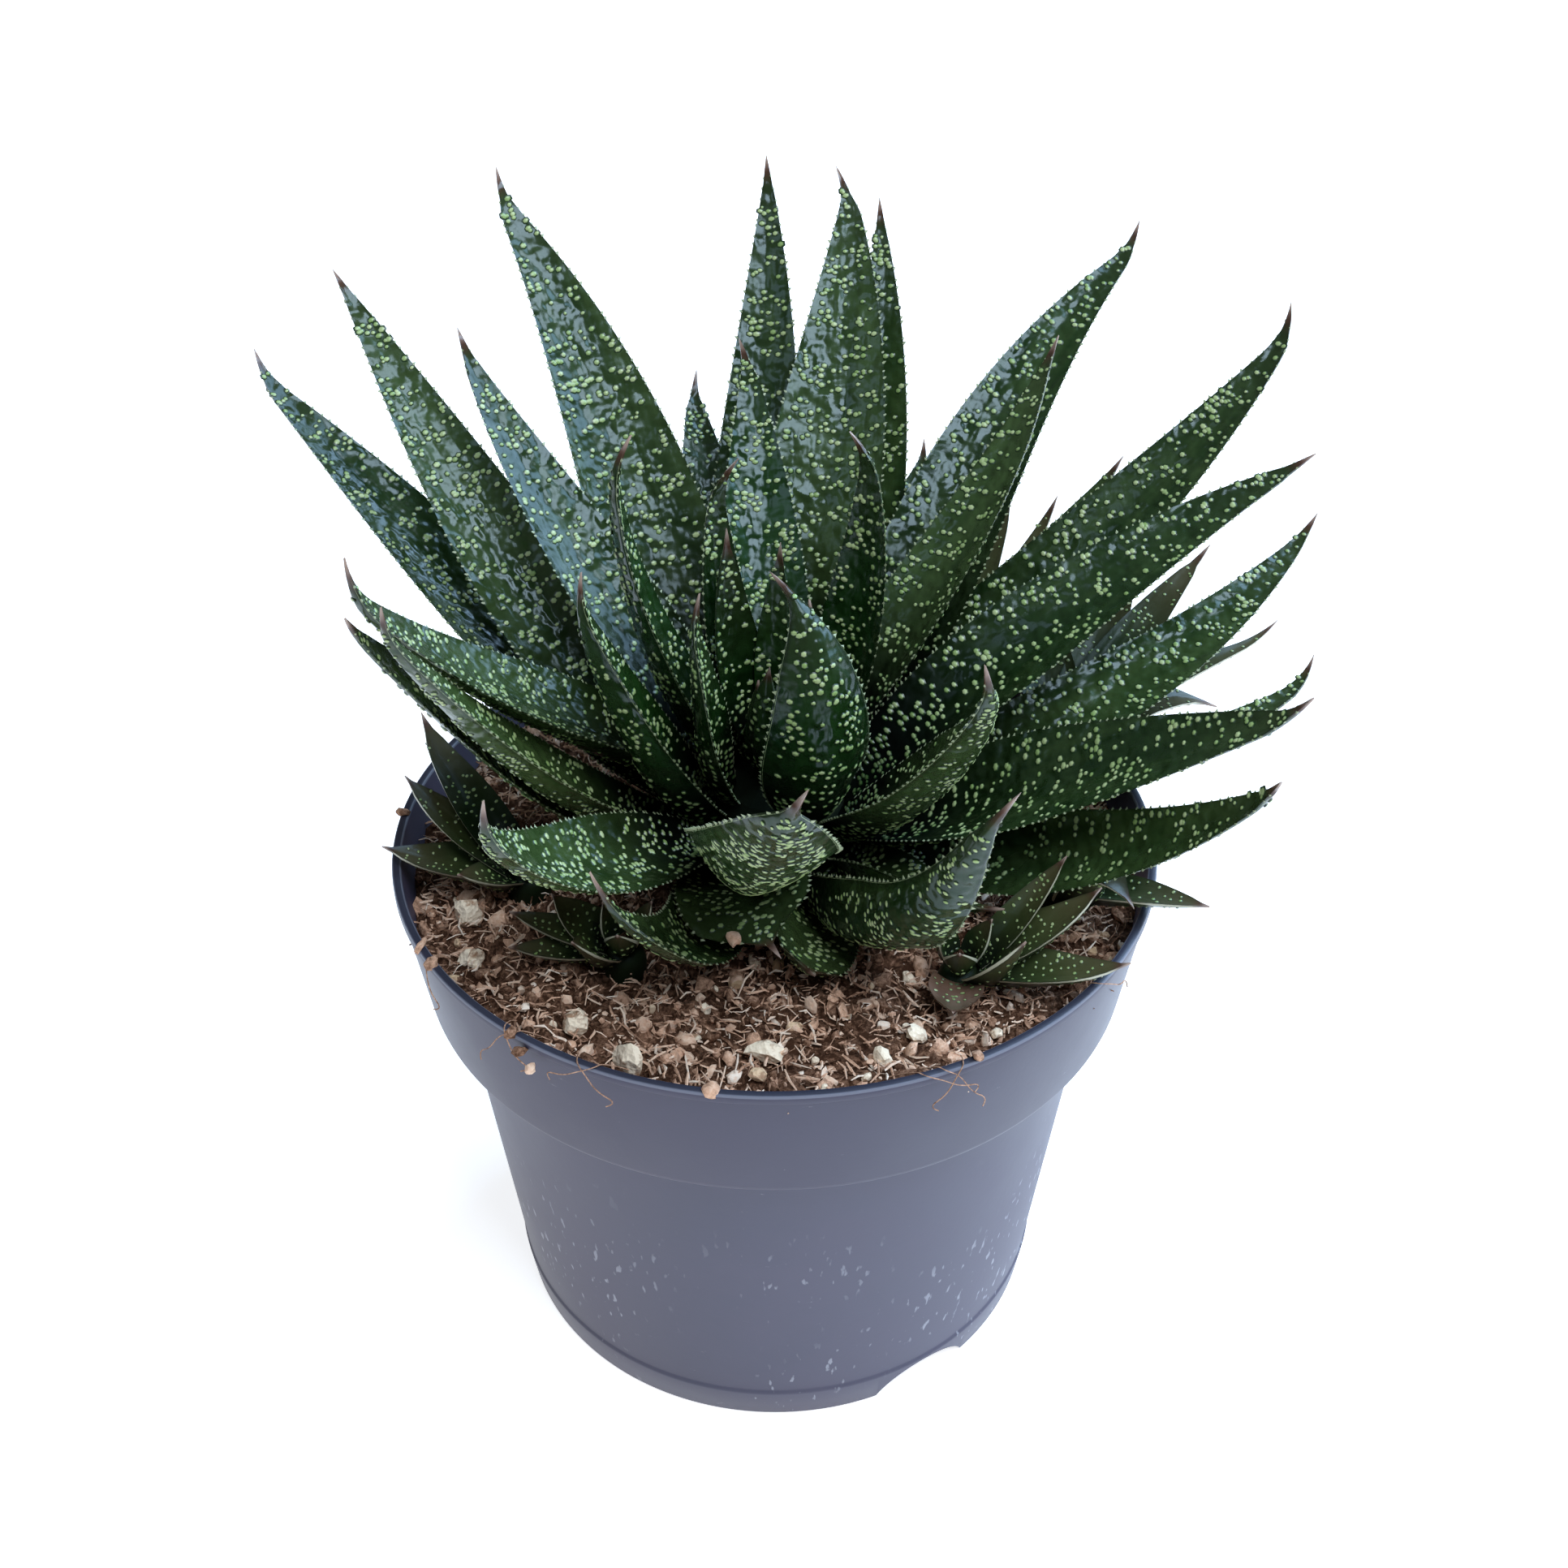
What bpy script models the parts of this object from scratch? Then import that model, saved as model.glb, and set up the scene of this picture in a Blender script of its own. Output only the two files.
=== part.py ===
"""A potted gasteria: a rosette of long, pointed, white-spotted leaves, with a few young offsets
round its foot, in a round plastic nursery pot full of gritty soil.

Metres, +Z up. The origin is the middle of the pot's base, on the surface that it stands on. The
front, -Y, is the side with the short leaves and most of the bare soil.
"""
import math
import random
from dataclasses import dataclass, replace

import bmesh
import bpy
import numpy as np
from mathutils import Matrix, Vector, noise

NAME = "potted_gasteria"
MM = 0.001
CLEAR = 0.3                 # gap between pieces that touch, in millimetres
SEED = 11

# Pot, in millimetres
TURN_STEPS = 36
POT_HEIGHT = 88.6
RIM_RADIUS = 60.0
LIP_HEIGHT = 1.6            # thicker band round the top edge
COLLAR_FOOT_Z = 66.7        # lower edge of the rim's deep collar
COLLAR_FOOT_RADIUS = 56.8
BODY_TOP_RADIUS = 52.3
BASE_RADIUS = 45.4
FOOT_RING_Z = 6.4           # fine ring round the foot
WALL = 1.4
RECESS_Z = 6.0              # underside, between the foot ring and the low middle
MIDDLE_RADIUS = 13.0        # low middle of the underside
NOTCH_WAYS = (-57, 63, 183)  # drain notches in the foot, degrees
NOTCH_RADIUS = 10.0
NOTCH_DROP = 4.2            # how far the notch's centre lies below the base
DRAIN_HOLES = 6
DRAIN_RADIUS = 3.5
DRAIN_RING_RADIUS = 30.0

# Soil, in millimetres
SOIL_Z = 84.0               # mean height of its surface
SOIL_RINGS = (52.0, 43.0, 34.0, 26.0, 18.0, 12.0)
GROUND_Z = 83.2             # level ground round the main stem and the offsets
CROWN_GROUND = 15.0         # radius of the level ground round the main stem
OFFSET_GROUND = 6.0         # and round an offset
STONES = (                  # x, y and size of the larger grit
    (-47, -16, 6.0), (-45, -26, 4.0), (-28, -42, 5.5), (-20, -50, 6.5), (-1, -48, 6.0),
    (15, -49, 4.5), (20, -44, 5.0), (-45, 25, 5.0), (10, 49, 4.5),
)

# Crown: the short main stem, a dome on a stock that goes into the soil, in millimetres
CROWN_MIDDLE = (0.0, 0.0, 88.0)
CROWN_RADII = (13.0, 13.0, 11.0)
STOCK_RADIUS = 9.0
STOCK_FOOT_Z = 70.0

# Hearts: the small stems of the youngest leaves and of the offsets, in millimetres
HEART_MIDDLE = (0.0, 0.0, 99.6)
HEART_RADII = (2.2, 2.2, 1.8)
OFFSET_Z = 86.0
OFFSET_RADII = (2.4, 2.4, 2.2)
OFFSET_STEM_RADIUS = 3.2
OFFSET_STEM_TOP_Z = 87.8
OFFSET_STEM_FOOT_Z = 76.0

# Leaves, in millimetres
LEAF_STEP = 18.0            # about how far apart the teeth and the sections stand
TOOTH_STEP = 0.2            # the short step that carries a tooth, as a share of a long one
TOOTH_HEIGHT = 0.6
SPOT_SIZE = 1.3
SPOT_HEIGHT = 0.4
SPOTS_PER_LEAF = 5
SEAT_WIDTH = 0.42           # width at the seat, as a share of the greatest
HEART_SEAT_WIDTH = 0.6
OFFSET_SEAT_WIDTH = 0.8
WIDEST = 0.42               # where a leaf is widest, as a share of its length
CHANNEL_DEPTH = 0.2         # hollow of the upper face, as a share of the width
MARGIN_THICKNESS = 1.0
SEAT_GAP = 0.35


@dataclass(frozen=True)
class Leaf:
    """One leaf, in millimetres and degrees. Ways are seen from above: 0 is right, 90 is back."""
    way: float              # where its tip lies, seen from the middle that it grows from
    rise: float             # how high its tip lies, seen from there
    reach: float            # from there to the tip
    width: float
    seat: tuple             # way and rise of the place on the stem where it is rooted
    bend: tuple = (0, 0)    # how far its middle bulges up and to its left
    roll: float = 0         # positive lifts its left margin
    thick: float = 3.6
    blunt: float = 0        # how full the outline stays towards the tip
    seat_width: float = SEAT_WIDTH


@dataclass(frozen=True)
class Offset:
    """A young rosette: where its short stem stands in the soil, and its leaves."""
    name: str
    x: float
    y: float
    leaves: tuple


LEAVES = (                  # from the lowest to the innermost
    # short and low, near the soil
    Leaf(-83, 4, 40, 14, seat=(-66, -5), roll=-30, thick=3.0, blunt=2.5),
    Leaf(-89, 7, 38, 20, seat=(-102, 11), bend=(4, -3), roll=10, thick=3.0, blunt=2.5),
    Leaf(-121, 25, 55, 13, seat=(-123, 0), bend=(-6, 8), roll=-25, thick=3.0),
    Leaf(-41, 7, 44, 14, seat=(-40, 7), bend=(2, -2), roll=-30, thick=3.0),
    Leaf(-162, 39, 80, 13, seat=(-180, -5), bend=(-2, 0), roll=-20, thick=2.8),
    Leaf(102, 30, 88, 16, seat=(122, -5), bend=(2, -2)),
    Leaf(69, 21, 85, 14, seat=(74, -5), bend=(3, 0), thick=3.0),
    Leaf(45, 22, 92, 13, seat=(42, -5), thick=3.0),
    Leaf(11, 12, 92, 12, seat=(12, -3), bend=(0, -7), thick=3.0),
    Leaf(-29, 25, 86, 15, seat=(-14, 0), bend=(-6, 0), roll=30),
    # outer
    Leaf(151, 31, 114, 18, seat=(158, 13), roll=-5),
    Leaf(91, 45, 114, 16, seat=(103, 16), bend=(0, -1), roll=-10),
    Leaf(77, 44, 108, 15, seat=(74, 8), bend=(0, -4), roll=5),
    Leaf(30, 34, 118, 18, seat=(44, 15), bend=(0, -4), roll=10),
    Leaf(25, 18, 105, 15, seat=(8, 12), bend=(0, -7), roll=12),
    Leaf(-24, 29, 90, 19, seat=(-20, 19), roll=20),
    Leaf(-60, 37, 71, 14, seat=(-67, 8), bend=(-10, -3), roll=-65),
    Leaf(-128, 32, 72, 15, seat=(-137, 22), bend=(-6, -2), roll=-25, thick=4.2),
    Leaf(-153, 43, 81, 12, seat=(-166, 15), bend=(-3, -1), roll=-4, thick=3.6),
    # middle
    Leaf(142, 38, 114, 16, seat=(161, 25), bend=(0, 2), roll=-25),
    Leaf(125, 45, 116, 20, seat=(124, 27), bend=(1, -4), roll=-12),
    Leaf(81, 45, 112, 21, seat=(86, 36), bend=(3, -3)),
    Leaf(50, 35, 121, 18, seat=(43, 29), bend=(6, 3), roll=12),
    Leaf(17, 31, 101, 17, seat=(6, 36), bend=(3, 1), roll=14),
    Leaf(-52, 48, 68, 17, seat=(-40, 35), bend=(-2, 4), roll=18, thick=4.0),
    Leaf(-88, 39, 80, 20, seat=(-104, 28), bend=(-3, 0), roll=-10, thick=4.6, blunt=1.5),
    Leaf(-160, 43, 84, 15, seat=(-196, 37), bend=(-4, -2), roll=-8, thick=3.8),
    # inner
    Leaf(141, 46, 92, 15, seat=(148, 48), bend=(0, 2), roll=-5),
    Leaf(48, 42, 90, 14, seat=(44, 48), bend=(3, -5), roll=-12),
    Leaf(-163, 59, 58, 14, seat=(-147, 43), bend=(-1, 0), roll=-6, thick=4.6),
    Leaf(170, 71, 69, 12, seat=(161, 59), bend=(-4, 0), roll=10, thick=2.8),
    Leaf(95, 50, 79, 14, seat=(93, 59)),
    Leaf(48, 72, 65, 12, seat=(37, 59), bend=(-2, -2), thick=2.8),
    Leaf(-77, 82, 52, 17, seat=(-63, 48), bend=(-6, 2), roll=7, thick=3.0),
    Leaf(-173, 74, 45, 11, seat=(-145, 57), bend=(0, 3), roll=-15, thick=2.6),
    Leaf(120, 74, 60, 9, seat=(126, 68), bend=(0, 2), roll=5, thick=2.4),
)

HEART_LEAVES = (
    Leaf(72, 77, 36, 6, seat=(72, 60), bend=(0, 2), thick=1.8),
    Leaf(15, 78, 30, 6, seat=(10, 45), thick=1.8),
    Leaf(127, 74, 39, 9, seat=(127, 45), bend=(0, 2), thick=2.0),
    Leaf(-107, 76, 22, 6, seat=(-110, 45), thick=1.8),
    Leaf(-165, 80, 17, 5, seat=(-170, 45), thick=1.6),
)

OFFSETS = (
    Offset("offset_left", -38, -10, (
        Leaf(180, 13, 23, 9, seat=(180, 20), thick=2.4),
        Leaf(156, 29, 25, 8, seat=(156, 25), thick=2.4),
        Leaf(138, 38, 31, 8, seat=(138, 25), thick=2.4),
        Leaf(212, 24, 13, 7, seat=(212, 25), thick=2.0),
    )),
    Offset("offset_front_left", -22, -28, (
        Leaf(158, 30, 14, 8, seat=(158, 25), thick=2.4),
        Leaf(215, 36, 11, 7, seat=(215, 25), thick=2.1),
        Leaf(185, 8, 17, 6, seat=(185, 15), thick=1.8),
        Leaf(170, 18, 18, 6, seat=(170, 25), thick=1.8),
    )),
    Offset("offset_front_right", 27, -32, (
        Leaf(26, 42, 23, 6, seat=(26, 25), thick=1.8),
        Leaf(8, 31, 24, 8, seat=(8, 25), thick=2.4),
        Leaf(-16, 14, 25, 8, seat=(-16, 20), thick=2.4),
        Leaf(-40, 46, 16, 7, seat=(-40, 25), thick=2.1),
        Leaf(-100, 10, 12, 8, seat=(-100, 15), thick=2.4),
    )),
    Offset("offset_right", 44, -14, (
        Leaf(-31, 16, 24, 7, seat=(-31, 30), bend=(1, 0), thick=2.1),
        Leaf(-62, 28, 19, 9, seat=(-60, 22), bend=(5, 0), thick=2.4),
    )),
    Offset("offset_back_right", 48, 20, (
        Leaf(49, 30, 48, 9, seat=(62, 45), bend=(2, 0), thick=2.4),
        Leaf(64, 34, 42, 9, seat=(74, 35), thick=2.4),
        Leaf(28, 17, 47, 5, seat=(28, 45), bend=(2, 0), thick=1.5),
        Leaf(8, 19, 27, 12, seat=(4, 45), bend=(6, 0), thick=2.4),
        Leaf(95, 38, 34, 10, seat=(95, 25), thick=2.4),
    )),
    Offset("offset_back", 28, 40, (
        Leaf(60, 44, 42, 6, seat=(60, 25), thick=1.8),
        Leaf(42, 45, 42, 6, seat=(42, 25), thick=1.8),
        Leaf(85, 37, 34, 7, seat=(85, 25), thick=2.1),
    )),
)


def unit(vectors):
    """Vectors made one long, along the last axis."""
    return vectors / np.linalg.norm(vectors, axis=-1, keepdims=True)


def direction(way, rise):
    """Unit vector of a way and a rise in degrees."""
    a, b = math.radians(way), math.radians(rise)
    return np.array([math.cos(b) * math.cos(a), math.cos(b) * math.sin(a), math.sin(b)])


def leaf_frames(leaf, middle, radii, s):
    """Points and axes (left, up) of a leaf's midline at the shares s of its length."""
    s = s[:, None]
    middle, radii = np.array(middle), np.array(radii)
    seat = direction(*leaf.seat)
    out = unit(seat / radii)
    p0 = middle + radii * seat + out * SEAT_GAP
    p3 = middle + leaf.reach * direction(leaf.way, leaf.rise)
    length = np.linalg.norm(p3 - p0)
    chord = (p3 - p0) / length
    left = direction(leaf.way + 90, 0)
    left = unit(left - left.dot(chord) * chord)
    up = np.cross(chord, left)
    p1 = p0 + out * 0.2 * length
    arch, bow = leaf.bend
    p2 = p0 + chord * 0.58 * length + up * 2.2 * arch + left * 2.2 * bow
    point = (1 - s)**3 * p0 + 3 * s * (1 - s)**2 * p1 + 3 * s**2 * (1 - s) * p2 + s**3 * p3
    along = unit((1 - s)**2 * (p1 - p0) + 2 * s * (1 - s) * (p2 - p1) + s**2 * (p3 - p2))
    left = unit(left - (along @ left)[:, None] * along)
    up = np.cross(along, left)
    roll = np.radians(leaf.roll * np.clip(s * 1.6 + 0.2, 0, 1))
    return (point, left * np.cos(roll) + up * np.sin(roll),
            up * np.cos(roll) - left * np.sin(roll))


def half_width(leaf, s):
    """Half the width: narrow at the seat, widest before the middle, then a long sharp point."""
    to_tip = (1 - s) * leaf.reach
    point = min(4.0, 0.08 * leaf.reach)
    tip = np.where(to_tip < point, 0.35 + 0.10 * to_tip,
                   0.35 + 0.10 * point
                   + (to_tip - point) * (0.3 + 12 / leaf.reach + 0.5 * leaf.blunt))
    swell = np.sin(np.clip(s / WIDEST, 0, 1) * math.pi / 2)
    swell = leaf.seat_width + (1 - leaf.seat_width) * swell
    taper = 1 - np.clip((s - WIDEST) / (1 - WIDEST), 0, 1)**(1.75 + leaf.blunt)
    return np.minimum(leaf.width / 2 * np.where(s < WIDEST, swell, taper), tip)


def thickness(leaf, s):
    """The thickness on the keel."""
    to_tip = (1 - s) * leaf.reach
    body = np.where(s < 0.35, 1 - 0.3 * (1 - s / 0.35)**2,
                    1 - 0.75 * np.clip((s - 0.35) / 0.65, 0, 1)**1.5)
    return np.minimum(leaf.thick * body, 0.7 + 0.12 * to_tip)


def section(leaf, s, across):
    """Half width, and heights of the channelled upper face and of the keeled lower face.

    across runs from -1 at the right margin to 1 at the left one.
    """
    width = half_width(leaf, s)
    channel = 2 * width * CHANNEL_DEPTH * np.clip(1.25 - s, 0.15, 1)
    thick = thickness(leaf, s)
    margin = np.minimum(MARGIN_THICKNESS, thick * 0.6)
    upper = channel * (abs(across)**1.7 - 0.35)
    lower = upper - margin - (thick - margin) * (1 - abs(across)**1.4)
    return width, upper, lower


def loft_leaf(leaf, middle, radii, steps, rng, toothed=True):
    """A leaf lofted through its sections, with teeth on its margins and a few raised spots.

    On a toothed leaf each long step is followed by a short one, whose margins carry the teeth.
    """
    tooth = [TOOTH_STEP] if toothed else []
    places = np.cumsum([0.0, 0.8] + tooth + ([1.0] + tooth) * (steps - 1) + [0.6])
    shares = places / places[-1]
    points, lefts, ups = leaf_frames(leaf, middle, radii, shares)
    corners = [(-1, 1), (-0.55, 1), (0, 1), (0.55, 1), (1, 1), (1, 2), (0, 2), (-1, 2)]
    right_margin, left_margin = len(corners) - 1, corners.index((1, 1))
    bm = bmesh.new()
    rings = []
    for share, point, left, up in zip(shares, points, lefts, ups):
        ring = []
        for across, face in corners:
            sizes = section(leaf, share, across)
            side = sizes[0] * across * (1.0 if face == 1 else 0.92)
            ring.append(bm.verts.new((point + left * side + up * sizes[face]) * MM))
        rings.append(ring)
    ends = [bm.faces.new(rings[0]), bm.faces.new(rings[-1][::-1])]
    margins, broad = [], []
    for i, (ring, following) in enumerate(zip(rings, rings[1:])):
        for j, corner in enumerate(ring):
            k = (j + 1) % len(ring)
            face = bm.faces.new((corner, following[j], following[k], ring[k]))
            if toothed and 1 < i < len(rings) - 2:
                if i % 2 and j in (left_margin, right_margin):
                    margins.append(face)
                if i % 2 == 0 and j not in (left_margin, right_margin):
                    broad.append(face)
    if toothed:
        bmesh.ops.poke(bm, faces=margins, offset=TOOTH_HEIGHT * MM)
        raise_spots(bm, rng.sample(broad, SPOTS_PER_LEAF))
    bmesh.ops.triangulate(bm, faces=ends)
    return bm


def raise_spots(bm, faces):
    """Raise a small pointed spot in the middle of each face."""
    tops = bmesh.ops.extrude_discrete_faces(bm, faces=faces)["faces"]
    for face in tops:
        centre = face.calc_center_median()
        normal = face.normal.copy()
        for vert in face.verts:
            spoke = vert.co - centre
            spoke -= spoke.dot(normal) * normal
            vert.co = centre + spoke.normalized() * SPOT_SIZE / 2 * MM
    bmesh.ops.poke(bm, faces=tops, offset=SPOT_HEIGHT * MM)


def clear_scene():
    """Remove every object, so that a second run starts afresh."""
    for obj in list(bpy.data.objects):
        bpy.data.objects.remove(obj, do_unlink=True)


def make_collection(name):
    """A collection linked to the scene."""
    collection = bpy.data.collections.new(name)
    bpy.context.scene.collection.children.link(collection)
    return collection


def make_material(name, colour, roughness):
    """A plain Principled material."""
    material = bpy.data.materials.new(name)
    material.use_nodes = True
    shader = material.node_tree.nodes["Principled BSDF"]
    shader.inputs["Base Color"].default_value = (*colour, 1.0)
    shader.inputs["Roughness"].default_value = roughness
    shader.inputs["Metallic"].default_value = 0.0
    material.diffuse_color = (*colour, 1.0)
    return material


def add_object(name, bm, material, collection, smooth=False):
    """An object made of bm, in the collection."""
    mesh = bpy.data.meshes.new(name)
    bm.to_mesh(mesh)
    bm.free()
    if smooth:
        mesh.shade_smooth()
        mesh.set_sharp_from_angle(angle=math.radians(40))
    if material:
        mesh.materials.append(material)
    obj = bpy.data.objects.new(name, mesh)
    collection.objects.link(obj)
    return obj


def turned(name, profile, material, collection, steps):
    """A body turned about Z from (radius, height) points in millimetres, outer side downwards."""
    mesh = bpy.data.meshes.new(name)
    points = [(radius * MM, 0.0, height * MM) for radius, height in profile]
    mesh.from_pydata(points, [(i, i + 1) for i in range(len(points) - 1)], [])
    mesh.materials.append(material)
    obj = bpy.data.objects.new(name, mesh)
    collection.objects.link(obj)
    screw = obj.modifiers.new("Turn", "SCREW")
    screw.steps = screw.render_steps = steps
    screw.use_merge_vertices = True
    screw.merge_threshold = 0.00001
    screw.use_smooth_shade = True
    return obj


def add_cylinder(name, radius, depth, centre, axis, sides, material, collection):
    """A cylinder with its centre and its axis where they are told, in millimetres."""
    bm = bmesh.new()
    bmesh.ops.create_cone(bm, cap_ends=True, segments=sides, radius1=radius * MM,
                          radius2=radius * MM, depth=depth * MM)
    obj = add_object(name, bm, material, collection)
    obj.location = Vector(centre) * MM
    obj.rotation_euler = Vector((0, 0, 1)).rotation_difference(Vector(axis)).to_euler()
    return obj


def cut(obj, name, radius, depth, centre, axis, sides, cutters):
    """Cut a plain round hole in an object."""
    tool = add_cylinder(name, radius, depth, centre, axis, sides, None, cutters)
    tool.hide_render = True
    tool.display_type = "WIRE"
    boolean = obj.modifiers.new(name, "BOOLEAN")
    boolean.operation = "DIFFERENCE"
    boolean.object = tool


def keep_largest_body(mesh):
    """Drop loose scraps and fill sealed hollows, which are small bodies of faces by themselves."""
    bm = bmesh.new()
    bm.from_mesh(mesh)
    left = set(bm.verts)
    bodies = []
    while left:
        body, edge = set(), {left.pop()}
        while edge:
            vert = edge.pop()
            body.add(vert)
            edge |= {e.other_vert(vert) for e in vert.link_edges} - body
        left -= body
        bodies.append(body)
    bodies.sort(key=len)
    bmesh.ops.delete(bm, geom=[vert for body in bodies[:-1] for vert in body], context="VERTS")
    bm.to_mesh(mesh)
    bm.free()


def fuse(obj, repeats):
    """Join the objects of a collection to obj in one body, then remove them."""
    boolean = obj.modifiers.new("Fuse", "BOOLEAN")
    boolean.operation = "UNION"
    boolean.operand_type = "COLLECTION"
    boolean.collection = repeats
    graph = bpy.context.evaluated_depsgraph_get()
    joined = bpy.data.meshes.new_from_object(obj.evaluated_get(graph))
    keep_largest_body(joined)
    obj.modifiers.clear()
    obj.data = joined
    for part in list(repeats.objects):
        bpy.data.objects.remove(part, do_unlink=True)
    bpy.data.collections.remove(repeats)


def pot_inside(z):
    """Inner radius of the pot at a height."""
    heights = (RECESS_Z + WALL, COLLAR_FOOT_Z - 1.2, COLLAR_FOOT_Z + 1.5, POT_HEIGHT)
    radii = (BASE_RADIUS - WALL + 0.3, BODY_TOP_RADIUS - WALL, COLLAR_FOOT_RADIUS - WALL,
             RIM_RADIUS - WALL)
    return float(np.interp(z, heights, radii))


def build_pot(material, parts, cutters):
    """The moulded pot: lip, collar, tapering body, foot ring, notches and drain holes."""
    floor = RECESS_Z + WALL
    profile = [
        (0, WALL), (MIDDLE_RADIUS - 1.6, WALL), (MIDDLE_RADIUS - 0.4, floor),
        (pot_inside(floor), floor),
        (pot_inside(COLLAR_FOOT_Z - 1.2), COLLAR_FOOT_Z - 1.2),
        (pot_inside(COLLAR_FOOT_Z + 1.5), COLLAR_FOOT_Z + 1.5),
        (RIM_RADIUS - WALL, POT_HEIGHT), (RIM_RADIUS - 0.3, POT_HEIGHT),
        (RIM_RADIUS, POT_HEIGHT - 0.3),
        (RIM_RADIUS, POT_HEIGHT - LIP_HEIGHT), (RIM_RADIUS - 0.4, POT_HEIGHT - LIP_HEIGHT - 0.3),
        (COLLAR_FOOT_RADIUS, COLLAR_FOOT_Z + 0.5), (COLLAR_FOOT_RADIUS - 0.5, COLLAR_FOOT_Z),
        (BODY_TOP_RADIUS, COLLAR_FOOT_Z - 0.8),
        (BASE_RADIUS + 0.7, FOOT_RING_Z + 0.5), (BASE_RADIUS + 0.9, FOOT_RING_Z - 0.1),
        (BASE_RADIUS, 0), (BASE_RADIUS - WALL, 0),
        (BASE_RADIUS - WALL, RECESS_Z), (MIDDLE_RADIUS + 1.0, RECESS_Z), (MIDDLE_RADIUS, 0),
        (0, 0),
    ]
    pot = turned("pot", profile, material, parts, TURN_STEPS)
    for number, way in enumerate(NOTCH_WAYS, 1):
        out = direction(way, 0)
        centre = out * (BASE_RADIUS - 1) + (0, 0, -NOTCH_DROP)
        cut(pot, f"notch_{number}", NOTCH_RADIUS, 8, centre, out, 20, cutters)
    for number in range(DRAIN_HOLES):
        out = direction(NOTCH_WAYS[0] + number * 360 / DRAIN_HOLES, 0)
        centre = out * DRAIN_RING_RADIUS + (0, 0, RECESS_Z + WALL / 2)
        cut(pot, f"drain_{number + 1}", DRAIN_RADIUS, 4, centre, (0, 0, 1), 8, cutters)


def soil_height(x, y):
    """Height of the soil: a rough, low mound, sunk at the left and right rim and level at stems."""
    sides = 3.0 * max(0.0, (abs(x) - 30) / 28)**1.5
    front = 1.2 * max(0.0, -y / 57)**2
    lumps = noise.noise(Vector((x * 0.12, y * 0.12, 3.0))) * 0.8
    lumps += noise.noise(Vector((x * 0.33, y * 0.33, 8.0))) * 0.5
    height = SOIL_Z - sides + front + lumps
    stems = [(0, 0, CROWN_GROUND)] + [(o.x, o.y, OFFSET_GROUND) for o in OFFSETS]
    for stem_x, stem_y, ground in stems:
        share = min(1.0, max(0.0, (math.hypot(x - stem_x, y - stem_y) - ground) / 8))
        height = min(height, GROUND_Z) * (1 - share) + height * share
    return height


def build_soil(material, parts, cutters):
    """The soil: a plug that fits the pot, with a lumpy top, stones in it and holes for stems."""
    floor = RECESS_Z + WALL + CLEAR
    top = POT_HEIGHT - 4
    profile = [(0, WALL + CLEAR), (MIDDLE_RADIUS - 2.0, WALL + CLEAR),
               (MIDDLE_RADIUS - 0.8, floor), (pot_inside(floor) - CLEAR, floor),
               (BODY_TOP_RADIUS - WALL - CLEAR, COLLAR_FOOT_Z - 0.9),
               (COLLAR_FOOT_RADIUS - WALL - CLEAR, COLLAR_FOOT_Z + 1.8),
               (pot_inside(top) - CLEAR, top)]
    profile += [(radius, top) for radius in SOIL_RINGS] + [(0, top)]
    bm = bmesh.new()
    line = [bm.verts.new((radius * MM, 0, height * MM)) for radius, height in profile]
    edges = [bm.edges.new(pair) for pair in zip(line, line[1:])]
    bmesh.ops.spin(bm, geom=line + edges, axis=(0, 0, 1), cent=(0, 0, 0), steps=TURN_STEPS,
                   angle=2 * math.pi, use_merge=True)
    bmesh.ops.remove_doubles(bm, verts=bm.verts, dist=0.00001)
    bmesh.ops.recalc_face_normals(bm, faces=bm.faces)
    for vert in [v for v in bm.verts if v.co.z > (top - 1) * MM]:
        x, y = vert.co.x / MM, vert.co.y / MM
        height = soil_height(x, y)
        if math.hypot(x, y) > SOIL_RINGS[0] + 1:
            shrink = (pot_inside(height) - CLEAR) / math.hypot(x, y)
            x, y = x * shrink, y * shrink
        vert.co = Vector((x, y, height)) * MM
    bmesh.ops.triangulate(bm, faces=bm.faces)
    soil = add_object("soil", bm, material, parts)
    stones = make_collection("stones")
    rng = random.Random(SEED)
    for x, y, size in STONES:
        bm = bmesh.new()
        bmesh.ops.create_icosphere(bm, subdivisions=1, radius=size / 2 * MM)
        squash = Matrix.Diagonal((1.0, rng.uniform(0.65, 0.9), rng.uniform(0.55, 0.75), 1.0))
        turn = Matrix.Rotation(rng.uniform(0, math.pi), 4, "Z")
        turn @= Matrix.Rotation(rng.uniform(-0.4, 0.4), 4, "X")
        place = Matrix.Translation(Vector((x, y, soil_height(x, y) + size * 0.1)) * MM)
        bmesh.ops.transform(bm, matrix=place @ turn @ squash, verts=bm.verts)
        add_object("stone", bm, None, stones)
    fuse(soil, stones)
    depth = 30
    cut(soil, "hole_crown", STOCK_RADIUS + CLEAR + 0.1, depth,
        (0, 0, STOCK_FOOT_Z - CLEAR + depth / 2), (0, 0, 1), 24, cutters)
    for offset in OFFSETS:
        cut(soil, "hole_" + offset.name, OFFSET_STEM_RADIUS + CLEAR + 0.1, depth,
            (offset.x, offset.y, OFFSET_STEM_FOOT_Z - CLEAR + depth / 2), (0, 0, 1), 8, cutters)


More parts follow.
